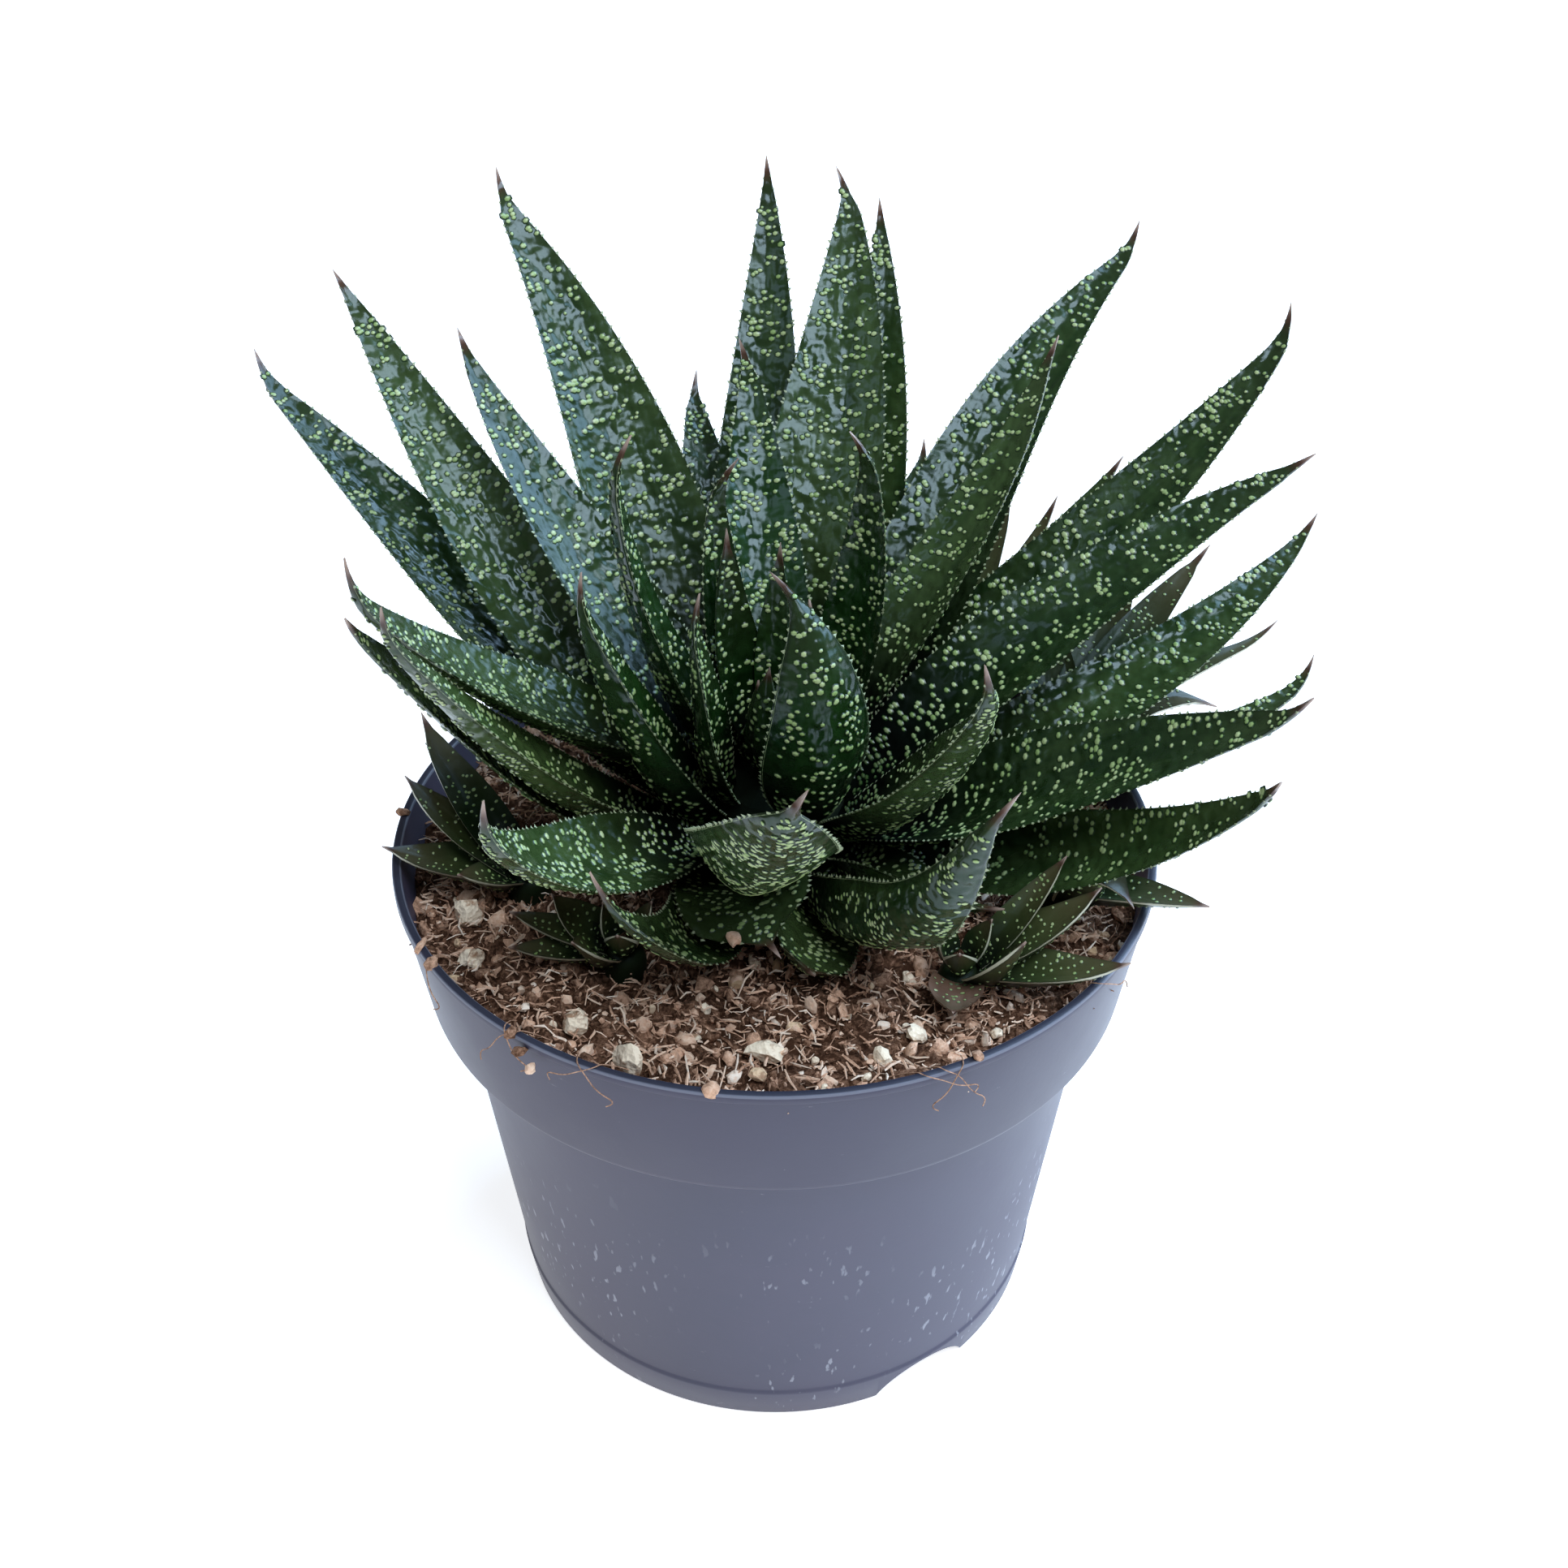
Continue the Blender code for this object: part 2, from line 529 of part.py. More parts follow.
def build_crown(material, parts):
    """The main stem: the dome that the leaves stand round, and its stock."""
    middle, radius, height = CROWN_MIDDLE[2], CROWN_RADII[0], CROWN_RADII[2]
    angles = [math.radians(90 - step * 18) for step in range(6)]
    profile = [(radius * math.cos(a), middle + height * math.sin(a)) for a in angles]
    profile += [(radius * 0.93, middle - height * 0.36), (STOCK_RADIUS, middle - height * 0.4),
                (STOCK_RADIUS - 0.6, STOCK_FOOT_Z + 1), (STOCK_RADIUS - 1.6, STOCK_FOOT_Z),
                (0, STOCK_FOOT_Z)]
    turned("crown", profile, material, parts, 18)


def build_leaf(number, leaf, material, parts, rng):
    """One large leaf of the main rosette, which is a piece by itself."""
    steps = max(4, round(leaf.reach / LEAF_STEP))
    bm = loft_leaf(leaf, CROWN_MIDDLE, CROWN_RADII, steps, rng)
    add_object(f"leaf_{number:02d}", bm, material, parts, smooth=True)


def add_small_leaves(obj, leaves, middle, radii, seat_width):
    """Fuse small smooth-edged leaves to the piece that they grow from."""
    repeats = make_collection("small_leaves")
    for leaf in leaves:
        leaf = replace(leaf, seat_width=seat_width)
        bm = loft_leaf(leaf, middle, radii, 3, None, toothed=False)
        add_object("small_leaf", bm, None, repeats)
    fuse(obj, repeats)


def build_heart(material, parts):
    """The youngest leaves in the middle of the rosette, on a small cone."""
    bm = bmesh.new()
    height = 2.4
    foot = CROWN_MIDDLE[2] + CROWN_RADII[2] + CLEAR
    bmesh.ops.create_cone(bm, cap_ends=True, segments=10, radius1=3.2 * MM, radius2=2.0 * MM,
                          depth=height * MM)
    bmesh.ops.translate(bm, vec=(0, 0, (foot + height / 2) * MM), verts=bm.verts)
    heart = add_object("heart", bm, material, parts)
    add_small_leaves(heart, HEART_LEAVES, HEART_MIDDLE, HEART_RADII, HEART_SEAT_WIDTH)


def build_offset(offset, material, parts):
    """A young rosette: a stem that stands in the soil, and small leaves fused to it."""
    depth = OFFSET_STEM_TOP_Z - OFFSET_STEM_FOOT_Z
    stem = add_cylinder(offset.name, OFFSET_STEM_RADIUS, depth,
                        (offset.x, offset.y, OFFSET_STEM_TOP_Z - depth / 2), (0, 0, 1), 8,
                        material, parts)
    add_small_leaves(stem, offset.leaves, (offset.x, offset.y, OFFSET_Z), OFFSET_RADII,
                     OFFSET_SEAT_WIDTH)


def main():
    """Build every piece."""
    clear_scene()
    parts = make_collection(NAME)
    cutters = make_collection("cutters")
    rng = random.Random(SEED)
    build_pot(make_material("pot_plastic", (0.19, 0.20, 0.27), 0.45), parts, cutters)
    build_soil(make_material("soil", (0.10, 0.06, 0.04), 0.95), parts, cutters)
    build_crown(make_material("stem", (0.10, 0.16, 0.05), 0.6), parts)
    green = make_material("leaf", (0.03, 0.09, 0.03), 0.3)
    for number, leaf in enumerate(LEAVES, 1):
        build_leaf(number, leaf, green, parts, rng)
    build_heart(make_material("heart", (0.02, 0.06, 0.02), 0.35), parts)
    young = make_material("young_leaf", (0.05, 0.09, 0.03), 0.35)
    for offset in OFFSETS:
        build_offset(offset, young, parts)


main()
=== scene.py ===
"""Looks of a potted gasteria: fine leaves, soil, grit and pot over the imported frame.

Sizes are in millimetres and angles in degrees, unless a name says otherwise. Ways are seen from
above: 0 is right, 90 is back.
"""
import logging
import math
from dataclasses import dataclass
from enum import Enum

import bpy
import numpy as np
from bpy.types import Material, Node, NodeSocket, Object
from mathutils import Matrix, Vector, noise
from numpy.random import Generator


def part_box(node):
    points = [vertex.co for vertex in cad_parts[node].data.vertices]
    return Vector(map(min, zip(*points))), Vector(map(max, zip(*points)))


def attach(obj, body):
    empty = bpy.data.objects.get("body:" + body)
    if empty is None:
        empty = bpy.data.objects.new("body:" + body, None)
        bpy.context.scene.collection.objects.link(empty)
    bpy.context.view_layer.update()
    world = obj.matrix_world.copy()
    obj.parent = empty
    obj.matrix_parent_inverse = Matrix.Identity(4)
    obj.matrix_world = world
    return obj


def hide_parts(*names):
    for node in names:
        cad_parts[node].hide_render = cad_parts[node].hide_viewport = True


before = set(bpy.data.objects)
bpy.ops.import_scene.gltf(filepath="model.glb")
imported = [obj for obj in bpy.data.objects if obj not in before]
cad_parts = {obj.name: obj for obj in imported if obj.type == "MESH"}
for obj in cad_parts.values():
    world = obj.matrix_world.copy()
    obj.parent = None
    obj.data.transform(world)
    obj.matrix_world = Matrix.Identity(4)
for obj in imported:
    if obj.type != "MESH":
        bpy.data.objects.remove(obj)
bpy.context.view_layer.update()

MM = 0.001
Array = np.ndarray
Triple = tuple[float, float, float]
Shape = tuple[Array, list[tuple[int, ...]]]     # points and faces of a small shape
Value = NodeSocket | float | tuple              # what a socket is fed with
SOIL_SEED, LEAF_SEED = 5, 7
LOG = logging.getLogger("gasteria")


def unit(vectors: Array) -> Array:
    """Return vectors made one long, along the last axis."""
    return vectors / np.linalg.norm(vectors, axis=-1, keepdims=True)


def direction(way: float, rise: float) -> Array:
    """Return the unit vector of a way and a rise."""
    a, b = math.radians(way), math.radians(rise)
    return np.array([math.cos(b) * math.cos(a), math.cos(b) * math.sin(a), math.sin(b)])


def relief(x: float, y: float, scale: float, layer: float) -> float:
    """Return a smooth random height at a place, from about -1 to 1."""
    return noise.noise(Vector((x * scale, y * scale, layer)))


def select(*pieces: Object) -> None:
    """Select objects alone and make the first one active.

    Args:
        pieces: The objects.
    """
    bpy.ops.object.select_all(action="DESELECT")
    for piece in pieces:
        piece.select_set(True)
    bpy.context.view_layer.objects.active = pieces[0]


def primitive(kind: str, **settings) -> Object:
    """Add a primitive on its own, with its place in its mesh.

    Args:
        kind: What it is, as in the name of its operator.
        settings: The operator's settings.

    Returns:
        The new object, the only one selected.
    """
    bpy.ops.object.select_all(action="DESELECT")
    getattr(bpy.ops.mesh, f"primitive_{kind}_add")(**settings)
    bpy.ops.object.transform_apply()
    return bpy.context.object


def new_object(name: str, data: bpy.types.ID) -> Object:
    """Put a mesh or a curve into the scene.

    Args:
        name: The name of its object.
        data: The mesh or the curve.

    Returns:
        The object.
    """
    piece = bpy.data.objects.new(name, data)
    bpy.context.collection.objects.link(piece)
    return piece


def put_mark(piece: Object, name: str, values: Array | list[float] | float) -> None:
    """Give the points of a mesh a named number, which its material reads."""
    data = piece.data.attributes.new(name, "FLOAT", "POINT").data
    data.foreach_set("value", np.broadcast_to(values, len(data)).astype(np.float32))


def join(pieces: list[Object], name: str, sharp: float = 50.0) -> Object:
    """Join objects, name the result and smooth it.

    Args:
        pieces: The objects.
        name: The result's name.
        sharp: The angle past which an edge stays sharp.

    Returns:
        The first object, which now holds them all.
    """
    select(*pieces)
    if len(pieces) > 1:
        bpy.ops.object.join()
    joined = bpy.context.object
    joined.name = joined.data.name = name
    joined.data.shade_smooth()
    joined.data.set_sharp_from_angle(angle=math.radians(sharp))
    return joined


def hand_over(piece: Object, slot: str, *nodes: str) -> None:
    """Let a piece ride on the part, in place of CAD nodes, and report it.

    Args:
        piece: The finished piece.
        slot: The record's material slot; not used.
        nodes: The nodes that it stands for.
    """
    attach(piece, "root")
    if nodes:
        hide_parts(*nodes)
    faces = sum(len(face.vertices) - 2 for face in piece.data.polygons)
    LOG.info("%s: %d triangles", piece.name, faces)


class Face(Enum):
    """The two faces of a leaf."""
    UPPER = 0.0
    LOWER = 1.0


@dataclass(frozen=True)
class Stem:
    """The rounded stem that leaves stand on: an ellipsoid, and the gap that leaves keep to it."""
    middle: Triple
    radii: Triple
    seat_width: float = 0.42
    gap: float = 0.35


@dataclass(frozen=True)
class Leaf:
    """One leaf: where its tip lies, its width, its seat on the stem and how it is bent."""
    way: float
    rise: float
    reach: float
    width: float
    seat: tuple[float, float]
    bend: tuple[float, float] = (0, 0)
    roll: float = 0
    thick: float = 3.6
    blunt: float = 0


@dataclass(frozen=True)
class Offset:
    """A young rosette: its node, where its stem stands in the soil, and its leaves."""
    name: str
    x: float
    y: float
    leaves: tuple[Leaf, ...]


LEAVES = (                  # from the lowest to the innermost
    # short and low, near the soil
    Leaf(-83, 4, 40, 14, (-66, -5), roll=-30, thick=3.0, blunt=2.5),
    Leaf(-89, 7, 38, 20, (-102, 11), bend=(4, -3), roll=10, thick=3.0, blunt=2.5),
    Leaf(-121, 25, 55, 13, (-123, 0), bend=(-6, 8), roll=-25, thick=3.0),
    Leaf(-41, 7, 44, 14, (-40, 7), bend=(2, -2), roll=-30, thick=3.0),
    Leaf(-162, 39, 80, 13, (-180, -5), bend=(-2, 0), roll=-20, thick=2.8),
    Leaf(102, 30, 88, 16, (122, -5), bend=(2, -2)),
    Leaf(69, 21, 85, 14, (74, -5), bend=(3, 0), thick=3.0),
    Leaf(45, 22, 92, 13, (42, -5), thick=3.0),
    Leaf(11, 12, 92, 12, (12, -3), bend=(0, -7), thick=3.0),
    Leaf(-29, 25, 86, 15, (-14, 0), bend=(-6, 0), roll=30),
    # outer
    Leaf(151, 31, 114, 18, (158, 13), roll=-5),
    Leaf(91, 45, 114, 16, (103, 16), bend=(0, -1), roll=-10),
    Leaf(77, 44, 108, 15, (74, 8), bend=(0, -4), roll=5),
    Leaf(30, 34, 118, 18, (44, 15), bend=(0, -4), roll=10),
    Leaf(25, 18, 105, 15, (8, 12), bend=(0, -7), roll=12),
    Leaf(-24, 29, 90, 19, (-20, 19), roll=20),
    Leaf(-60, 37, 71, 14, (-67, 8), bend=(-10, -3), roll=-65),
    Leaf(-128, 32, 72, 15, (-137, 22), bend=(-6, -2), roll=-25, thick=4.2),
    Leaf(-153, 43, 81, 12, (-166, 15), bend=(-3, -1), roll=-4),
    # middle
    Leaf(142, 38, 114, 16, (161, 25), bend=(0, 2), roll=-25),
    Leaf(125, 45, 116, 20, (124, 27), bend=(1, -4), roll=-12),
    Leaf(81, 45, 112, 21, (86, 36), bend=(3, -3)),
    Leaf(50, 35, 121, 18, (43, 29), bend=(6, 3), roll=12),
    Leaf(17, 31, 101, 17, (6, 36), bend=(3, 1), roll=14),
    Leaf(-52, 48, 68, 17, (-40, 35), bend=(-2, 4), roll=18, thick=4.0),
    Leaf(-88, 39, 80, 20, (-104, 28), bend=(-3, 0), roll=-10, thick=4.6, blunt=1.5),
    Leaf(-160, 43, 84, 15, (-196, 37), bend=(-4, -2), roll=-8, thick=3.8),
    # inner
    Leaf(141, 46, 92, 15, (148, 48), bend=(0, 2), roll=-5),
    Leaf(48, 42, 90, 14, (44, 48), bend=(3, -5), roll=-12),
    Leaf(-163, 59, 58, 14, (-147, 43), bend=(-1, 0), roll=-6, thick=4.6),
    Leaf(170, 71, 69, 12, (161, 59), bend=(-4, 0), roll=10, thick=2.8),
    Leaf(95, 50, 79, 14, (93, 59)),
    Leaf(48, 72, 65, 12, (37, 59), bend=(-2, -2), thick=2.8),
    Leaf(-77, 82, 52, 17, (-63, 48), bend=(-6, 2), roll=7, thick=3.0),
    Leaf(-173, 74, 45, 11, (-145, 57), bend=(0, 3), roll=-15, thick=2.6),
    Leaf(120, 74, 60, 9, (126, 68), bend=(0, 2), roll=5, thick=2.4),
)

HEART_LEAVES = (
    Leaf(72, 77, 36, 6, (72, 60), bend=(0, 2), thick=1.8),
    Leaf(15, 78, 30, 6, (10, 45), thick=1.8),
    Leaf(127, 74, 39, 9, (127, 45), bend=(0, 2), thick=2.0),
    Leaf(-107, 76, 22, 6, (-110, 45), thick=1.8),
    Leaf(-165, 80, 17, 5, (-170, 45), thick=1.6),
)

def young(way: float, rise: float, reach: float, width: float, seat: float = 25,
          thick: float = 0, bend: tuple[float, float] = (0, 0)) -> Leaf:
    """Return a small leaf that is seated on its own side, as thick as suits its width."""
    thick = thick or min(2.4, width * 3 / 10)
    return Leaf(way, rise, reach, width, (way, seat), bend, thick=thick)


OFFSETS = (
    Offset("offset_left", -38, -10, (
        young(180, 13, 23, 9, 20), young(156, 29, 25, 8), young(138, 38, 31, 8),
        young(212, 24, 13, 7, thick=2.0),
    )),
    Offset("offset_front_left", -22, -28, (
        young(158, 30, 14, 8), young(215, 36, 11, 7), young(185, 8, 17, 6, 15),
        young(170, 18, 18, 6),
    )),
    Offset("offset_front_right", 27, -32, (
        young(26, 42, 23, 6), young(8, 31, 24, 8), young(-16, 14, 25, 8, 20),
        young(-40, 46, 16, 7), young(-100, 10, 12, 8, 15),
    )),
    Offset("offset_right", 44, -14, (
        young(-31, 16, 24, 7, 30, bend=(1, 0)),
        Leaf(-62, 28, 19, 9, (-60, 22), bend=(5, 0), thick=2.4),
    )),
    Offset("offset_back_right", 48, 20, (
        Leaf(49, 30, 48, 9, (62, 45), bend=(2, 0), thick=2.4),
        Leaf(64, 34, 42, 9, (74, 35), thick=2.4),
        young(28, 17, 47, 5, 45, bend=(2, 0)),
        Leaf(8, 19, 27, 12, (4, 45), bend=(6, 0), thick=2.4),
        young(95, 38, 34, 10),
    )),
    Offset("offset_back", 28, 40, (
        young(60, 44, 42, 6), young(42, 45, 42, 6), young(85, 37, 34, 7),
    )),
)


class LeafForm:
    """The surface of one leaf, worked out from its driving dimensions."""

    widest: float = 0.42        # where it is widest, as a share of its length
    channel: float = 0.2        # hollow of the upper face, as a share of the width
    margin: float = 0.6         # thickness of the margin
    fullness: float = 1.9       # of the lower face: 1 for a straight keel, more for a rounder one
    point: float = 4.0          # length of the fine dry tip
    hook: float = 2.2           # how far the tip curls
    belly: float = 0.58         # where a bend pulls, as a share of the length
    pull: float = 2.2           # how far it pulls there, for each millimetre of the bend
    step: float = 0.004         # share of the length over which slopes are taken

    def __init__(self, leaf: Leaf, stem: Stem, curl: float = 0.0) -> None:
        """Work out the midline.

        Args:
            leaf: The leaf's driving dimensions.
            stem: What it stands on.
            curl: How far its tip curls to its left.
        """
        self.leaf, self.stem, self.curl = leaf, stem, curl
        middle, radii = np.array(stem.middle), np.array(stem.radii)
        seat = direction(*leaf.seat)
        out = unit(seat / radii)
        start = middle + radii * seat + out * stem.gap
        end = middle + leaf.reach * direction(leaf.way, leaf.rise)
        length = np.linalg.norm(end - start)
        chord = (end - start) / length
        left = direction(leaf.way + 90, 0)
        self.left = unit(left - left.dot(chord) * chord)
        up = np.cross(chord, self.left)
        arch, bow = leaf.bend
        bulge = chord * self.belly * length + up * self.pull * arch + self.left * self.pull * bow
        self.handles = (start, start + out * 0.2 * length, start + bulge, end)

    def frames(self, s: Array) -> tuple[Array, Array, Array]:
        """Work out the midline's points and axes.

        Args:
            s: Shares of its length.

        Returns:
            Points, axes to the left and axes up.
        """
        p0, p1, p2, p3 = self.handles
        to_tip = (1 - s) * self.leaf.reach
        s = s[:, None]
        point = (1 - s)**3 * p0 + 3 * s * (1 - s)**2 * p1 + 3 * s**2 * (1 - s) * p2 + s**3 * p3
        along = unit((1 - s)**2 * (p1 - p0) + 2 * s * (1 - s) * (p2 - p1) + s**2 * (p3 - p2))
        left = unit(self.left - (along @ self.left)[:, None] * along)
        up = np.cross(along, left)
        roll = np.radians(self.leaf.roll * np.clip(s * 1.6 + 0.2, 0, 1))
        turned_left = left * np.cos(roll) + up * np.sin(roll)
        turned_up = up * np.cos(roll) - left * np.sin(roll)
        hooked = np.clip(1 - to_tip / (2 * self.point), 0, 1)[:, None]**2
        size = min(1.0, self.leaf.reach / 60)
        point = point + (turned_up * self.hook + turned_left * self.curl) * size * hooked
        return point, turned_left, turned_up

    def half_width(self, s: Array) -> Array:
        """Work out half the width: widest before the middle, then a long sharp point.

        Args:
            s: Shares of the length.

        Returns:
            Half the width at each.
        """
        leaf = self.leaf
        to_tip = (1 - s) * leaf.reach
        point = min(self.point, 0.08 * leaf.reach)
        edge = 0.35 + 0.10 * point
        tip = np.where(to_tip < point, 0.08 + (edge - 0.08) * to_tip / point,
                       edge + (to_tip - point) * (0.3 + 12 / leaf.reach + 0.5 * leaf.blunt))
        share = self.stem.seat_width
        swell = share + (1 - share) * np.sin(np.clip(s / self.widest, 0, 1) * math.pi / 2)
        beyond = np.clip((s - self.widest) / (1 - self.widest), 0, 1)
        taper = 1 - beyond**(1.75 + leaf.blunt)
        return np.minimum(leaf.width / 2 * np.where(s < self.widest, swell, taper), tip)

    def thickness(self, s: Array) -> Array:
        """Work out the thickness on the keel.

        Args:
            s: Shares of the length.

        Returns:
            The thickness at each.
        """
        leaf = self.leaf
        body = np.where(s < 0.35, 1 - 0.3 * (1 - s / 0.35)**2,
                        1 - 0.75 * np.clip((s - 0.35) / 0.65, 0, 1)**1.5)
        return np.minimum(leaf.thick * body, 0.3 + 0.2 * (1 - s) * leaf.reach)

    def surface(self, s: Array, across: Array, level: Array | float) -> Array:
        """Work out points of the skin.

        Args:
            s: Shares of the length.
            across: From -1 at the right margin to 1 at the left one.
            level: 0 on the upper face, 1 on the lower face, between them on the rim.

        Returns:
            One point for each, in millimetres.
        """
        point, left, up = self.frames(s)
        width, thick = self.half_width(s), self.thickness(s)
        hollow = 2 * width * self.channel * np.clip(1.25 - s, 0.15, 1)
        margin = np.minimum(self.margin, thick * 0.6)
        upper = hollow * (abs(across)**1.7 - 0.35)
        depth = margin + (thick - margin) * (1 - abs(across)**self.fullness)
        rim = np.sign(across) * 0.5 * margin * level * (1 - level) * (abs(across) > 0.999)
        side = width * across * (1 - 0.08 * level) + rim
        return point + left * side[:, None] + up * (upper - depth * level)[:, None]

    def along(self, s: Array, across: Array, level: float) -> Array:
        """Work out the skin's direction along the leaf.

        Args:
            s: Shares of the length.
            across: From -1 at the right margin to 1 at the left one.
            level: 0 on the upper face, 1 on the lower face.

        Returns:
            One unit vector for each.
        """
        ahead, behind = (self.surface(s + way * self.step, across, level) for way in (1, -1))
        return unit(ahead - behind)

    def patch(self, s: Array, across: Array, face: Face
              ) -> tuple[Array, Array]:
        """Work out points of the skin and the axes there.

        Args:
            s: Shares of the length.
            across: From -1 at the right margin to 1 at the left one.
            face: The face that they lie on.

        Returns:
            The points, and for each a matrix whose rows point across the leaf, along it and out.
        """
        level = face.value
        along = self.along(s, across, level)
        left, right = (self.surface(s, across + way * self.step, level) for way in (1, -1))
        out = unit(np.cross(left - right, along)) * (1 if face is Face.LOWER else -1)
        axes = np.stack([unit(np.cross(along, out)), along, out], axis=1)
        return self.surface(s, across, level), axes


@dataclass(frozen=True)
class SpotPattern:
    """How the pale spots of a face are strewn: their size, spacing and shape."""
    size: float             # along the leaf
    spacing: float
    dash: float             # how much longer they are across the leaf than along it
    height: float = 0.3
    twins: float = 0.55     # share of the spots that have another close beside them
    wart: bool = False      # whether they are domes with a wide foot
    reach: float = 0.86     # how near to the margins they come, as a share of the way there
    tries: int = 9          # places that are tried for each spot


class Pattern(Enum):
    """The patterns of spots that this plant has."""
    ROUND = SpotPattern(0.86, 1.7, 1.12, 0.23, 0.4, True)
    SPARSE = SpotPattern(0.95, 2.15, 1.2, 0.26, 0.3)
    CLOSE = SpotPattern(0.96, 1.4, 1.2, 0.22, 0.2)
    DASHES = SpotPattern(0.66, 1.1, 1.5, 0.18, 0.1)
    YOUNG = SpotPattern(0.62, 1.3, 1.2, 0.12, 0.1)


def strew(form: LeafForm, pattern: SpotPattern, rng: Generator) -> tuple[Array, ...]:
    """Strew spots over one face of a leaf, none too close to another.

    Args:
        form: The leaf.
        pattern: Size, spacing and shape of the spots.
        rng: Seeded random numbers.

    Returns:
        Share along, place across, and half sizes across and along of each spot.
    """
    leaf, reach = form.leaf, pattern.reach
    shares = np.linspace(0.03, 0.985, 60)
    area = 2 * form.half_width(shares).mean() * leaf.reach
    tries = int(area / pattern.spacing**2 * pattern.tries)
    s = rng.uniform(0.03, 1 - 3.5 / leaf.reach, tries)
    across = rng.uniform(-reach, reach, tries)
    width = form.half_width(s)
    keep = rng.uniform(0, leaf.width / 2, tries) < width
    s, across, width = s[keep], across[keep], width[keep]
    crowd = 0.68 + 0.32 * np.clip(s / 0.45, 0, 1)
    phase, side = rng.uniform(0, 6, 2)
    crowd *= 1 + 0.16 * np.sin(s * leaf.reach / 2.9 + phase) * np.sin(across * width / 1.6 + side)
    u = across * width / (pattern.spacing * crowd * (0.8 + 0.2 * pattern.dash))
    v = s * leaf.reach / (pattern.spacing * crowd)
    chosen: list[int] = []
    grid: dict[tuple[int, int], list[int]] = {}
    for i, cell in enumerate(zip(np.floor(u).astype(int), np.floor(v).astype(int))):
        near = [j for du in (-1, 0, 1) for dv in (-1, 0, 1)
                for j in grid.get((cell[0] + du, cell[1] + dv), ())]
        if all((u[i] - u[j])**2 + (v[i] - v[j])**2 > 1 for j in near):
            chosen.append(i)
            grid.setdefault(cell, []).append(i)
    s, across, width = s[chosen], across[chosen], width[chosen]
    twin = (rng.random(len(s)) < pattern.twins) & (abs(across) < 0.75)
    shift = pattern.size * pattern.dash * 1.15 / width[twin]
    s = np.concatenate([s, s[twin] + rng.normal(0, 0.3, twin.sum()) / leaf.reach])
    across = np.concatenate([across, np.clip(across[twin] + shift, -reach, reach)])
    base = np.clip(1 - s / 0.4, 0, 1)
    scale = rng.uniform(0.7, 1.25, len(s)) * (1 - 0.4 * base) * (1 - 0.3 * np.clip(s - 0.7, 0, 1))
    dash = pattern.dash * (1 + 0.6 * base) * rng.uniform(0.85, 1.25, len(s))
    half = pattern.size / 2 * scale
    return s, across, half * dash, half


def template(kind: str) -> Shape:
    """Model one small shape, to be copied many times.

    Args:
        kind: "spot" for a low bump, "wart" for a dome with a wide foot, "tooth" for a spike,
            "crumb" or "lump" for grains.

    Returns:
        Its points and its faces.
    """
    if kind == "wart":
        shape = primitive("uv_sphere", segments=6, ring_count=3, radius=1)
        for vert in shape.data.vertices:
            top = vert.co.z > 0
            spread = 0.66 if top else 1.7
            height = 0.6 + 0.4 * vert.co.z if top else -0.1
            vert.co = (vert.co.x * spread, vert.co.y * spread, height)
    elif kind in ("spot", "tooth"):
        sides, top = (6, 0.5) if kind == "spot" else (4, 0)
        shape = primitive("cone", vertices=sides, radius1=1, radius2=top, depth=1,
                          location=(0, 0, 0.5))
    else:
        shape = primitive("ico_sphere", subdivisions=1 if kind == "crumb" else 2, radius=1)
    points = np.array([vert.co for vert in shape.data.vertices])
    faces = [tuple(face.vertices) for face in shape.data.polygons]
    bpy.data.objects.remove(shape, do_unlink=True)
    return points, faces


class Copies:
    """Many copies of small shapes, gathered as one mesh."""

    def __init__(self) -> None:
        """Start with none."""
        self.points: list[Array] = []
        self.faces: list[tuple[int, ...]] = []
        self.marks: dict[str, list[Array]] = {}
        self.count = 0

    def add(self, points: Array, faces: list[tuple[int, ...]], **marks: Array) -> None:
        """Add copies.

        Args:
            points: Points of each copy, as copies x points x 3, in millimetres.
            faces: Faces of one copy.
            marks: Named numbers for each point, as copies x points.
        """
        copies, size = points.shape[:2]
        for start in range(self.count, self.count + copies * size, size):
            self.faces.extend(tuple(start + k for k in face) for face in faces)
        self.points.append(points.reshape(-1, 3))
        for name, values in marks.items():
            self.marks.setdefault(name, []).append(np.broadcast_to(values, (copies, size)).ravel())
        self.count += copies * size

    def to_object(self, name: str, material: Material) -> Object:
        """Make them one object.

        Args:
            name: Its name.
            material: Its finish.

        Returns:
            The object.
        """
        mesh = bpy.data.meshes.new(name)
        mesh.from_pydata((np.concatenate(self.points) * MM).tolist(), [], self.faces)
        mesh.materials.append(material)
        piece = new_object(name, mesh)
        for mark, values in self.marks.items():
            put_mark(piece, mark, np.concatenate(values))
        return piece


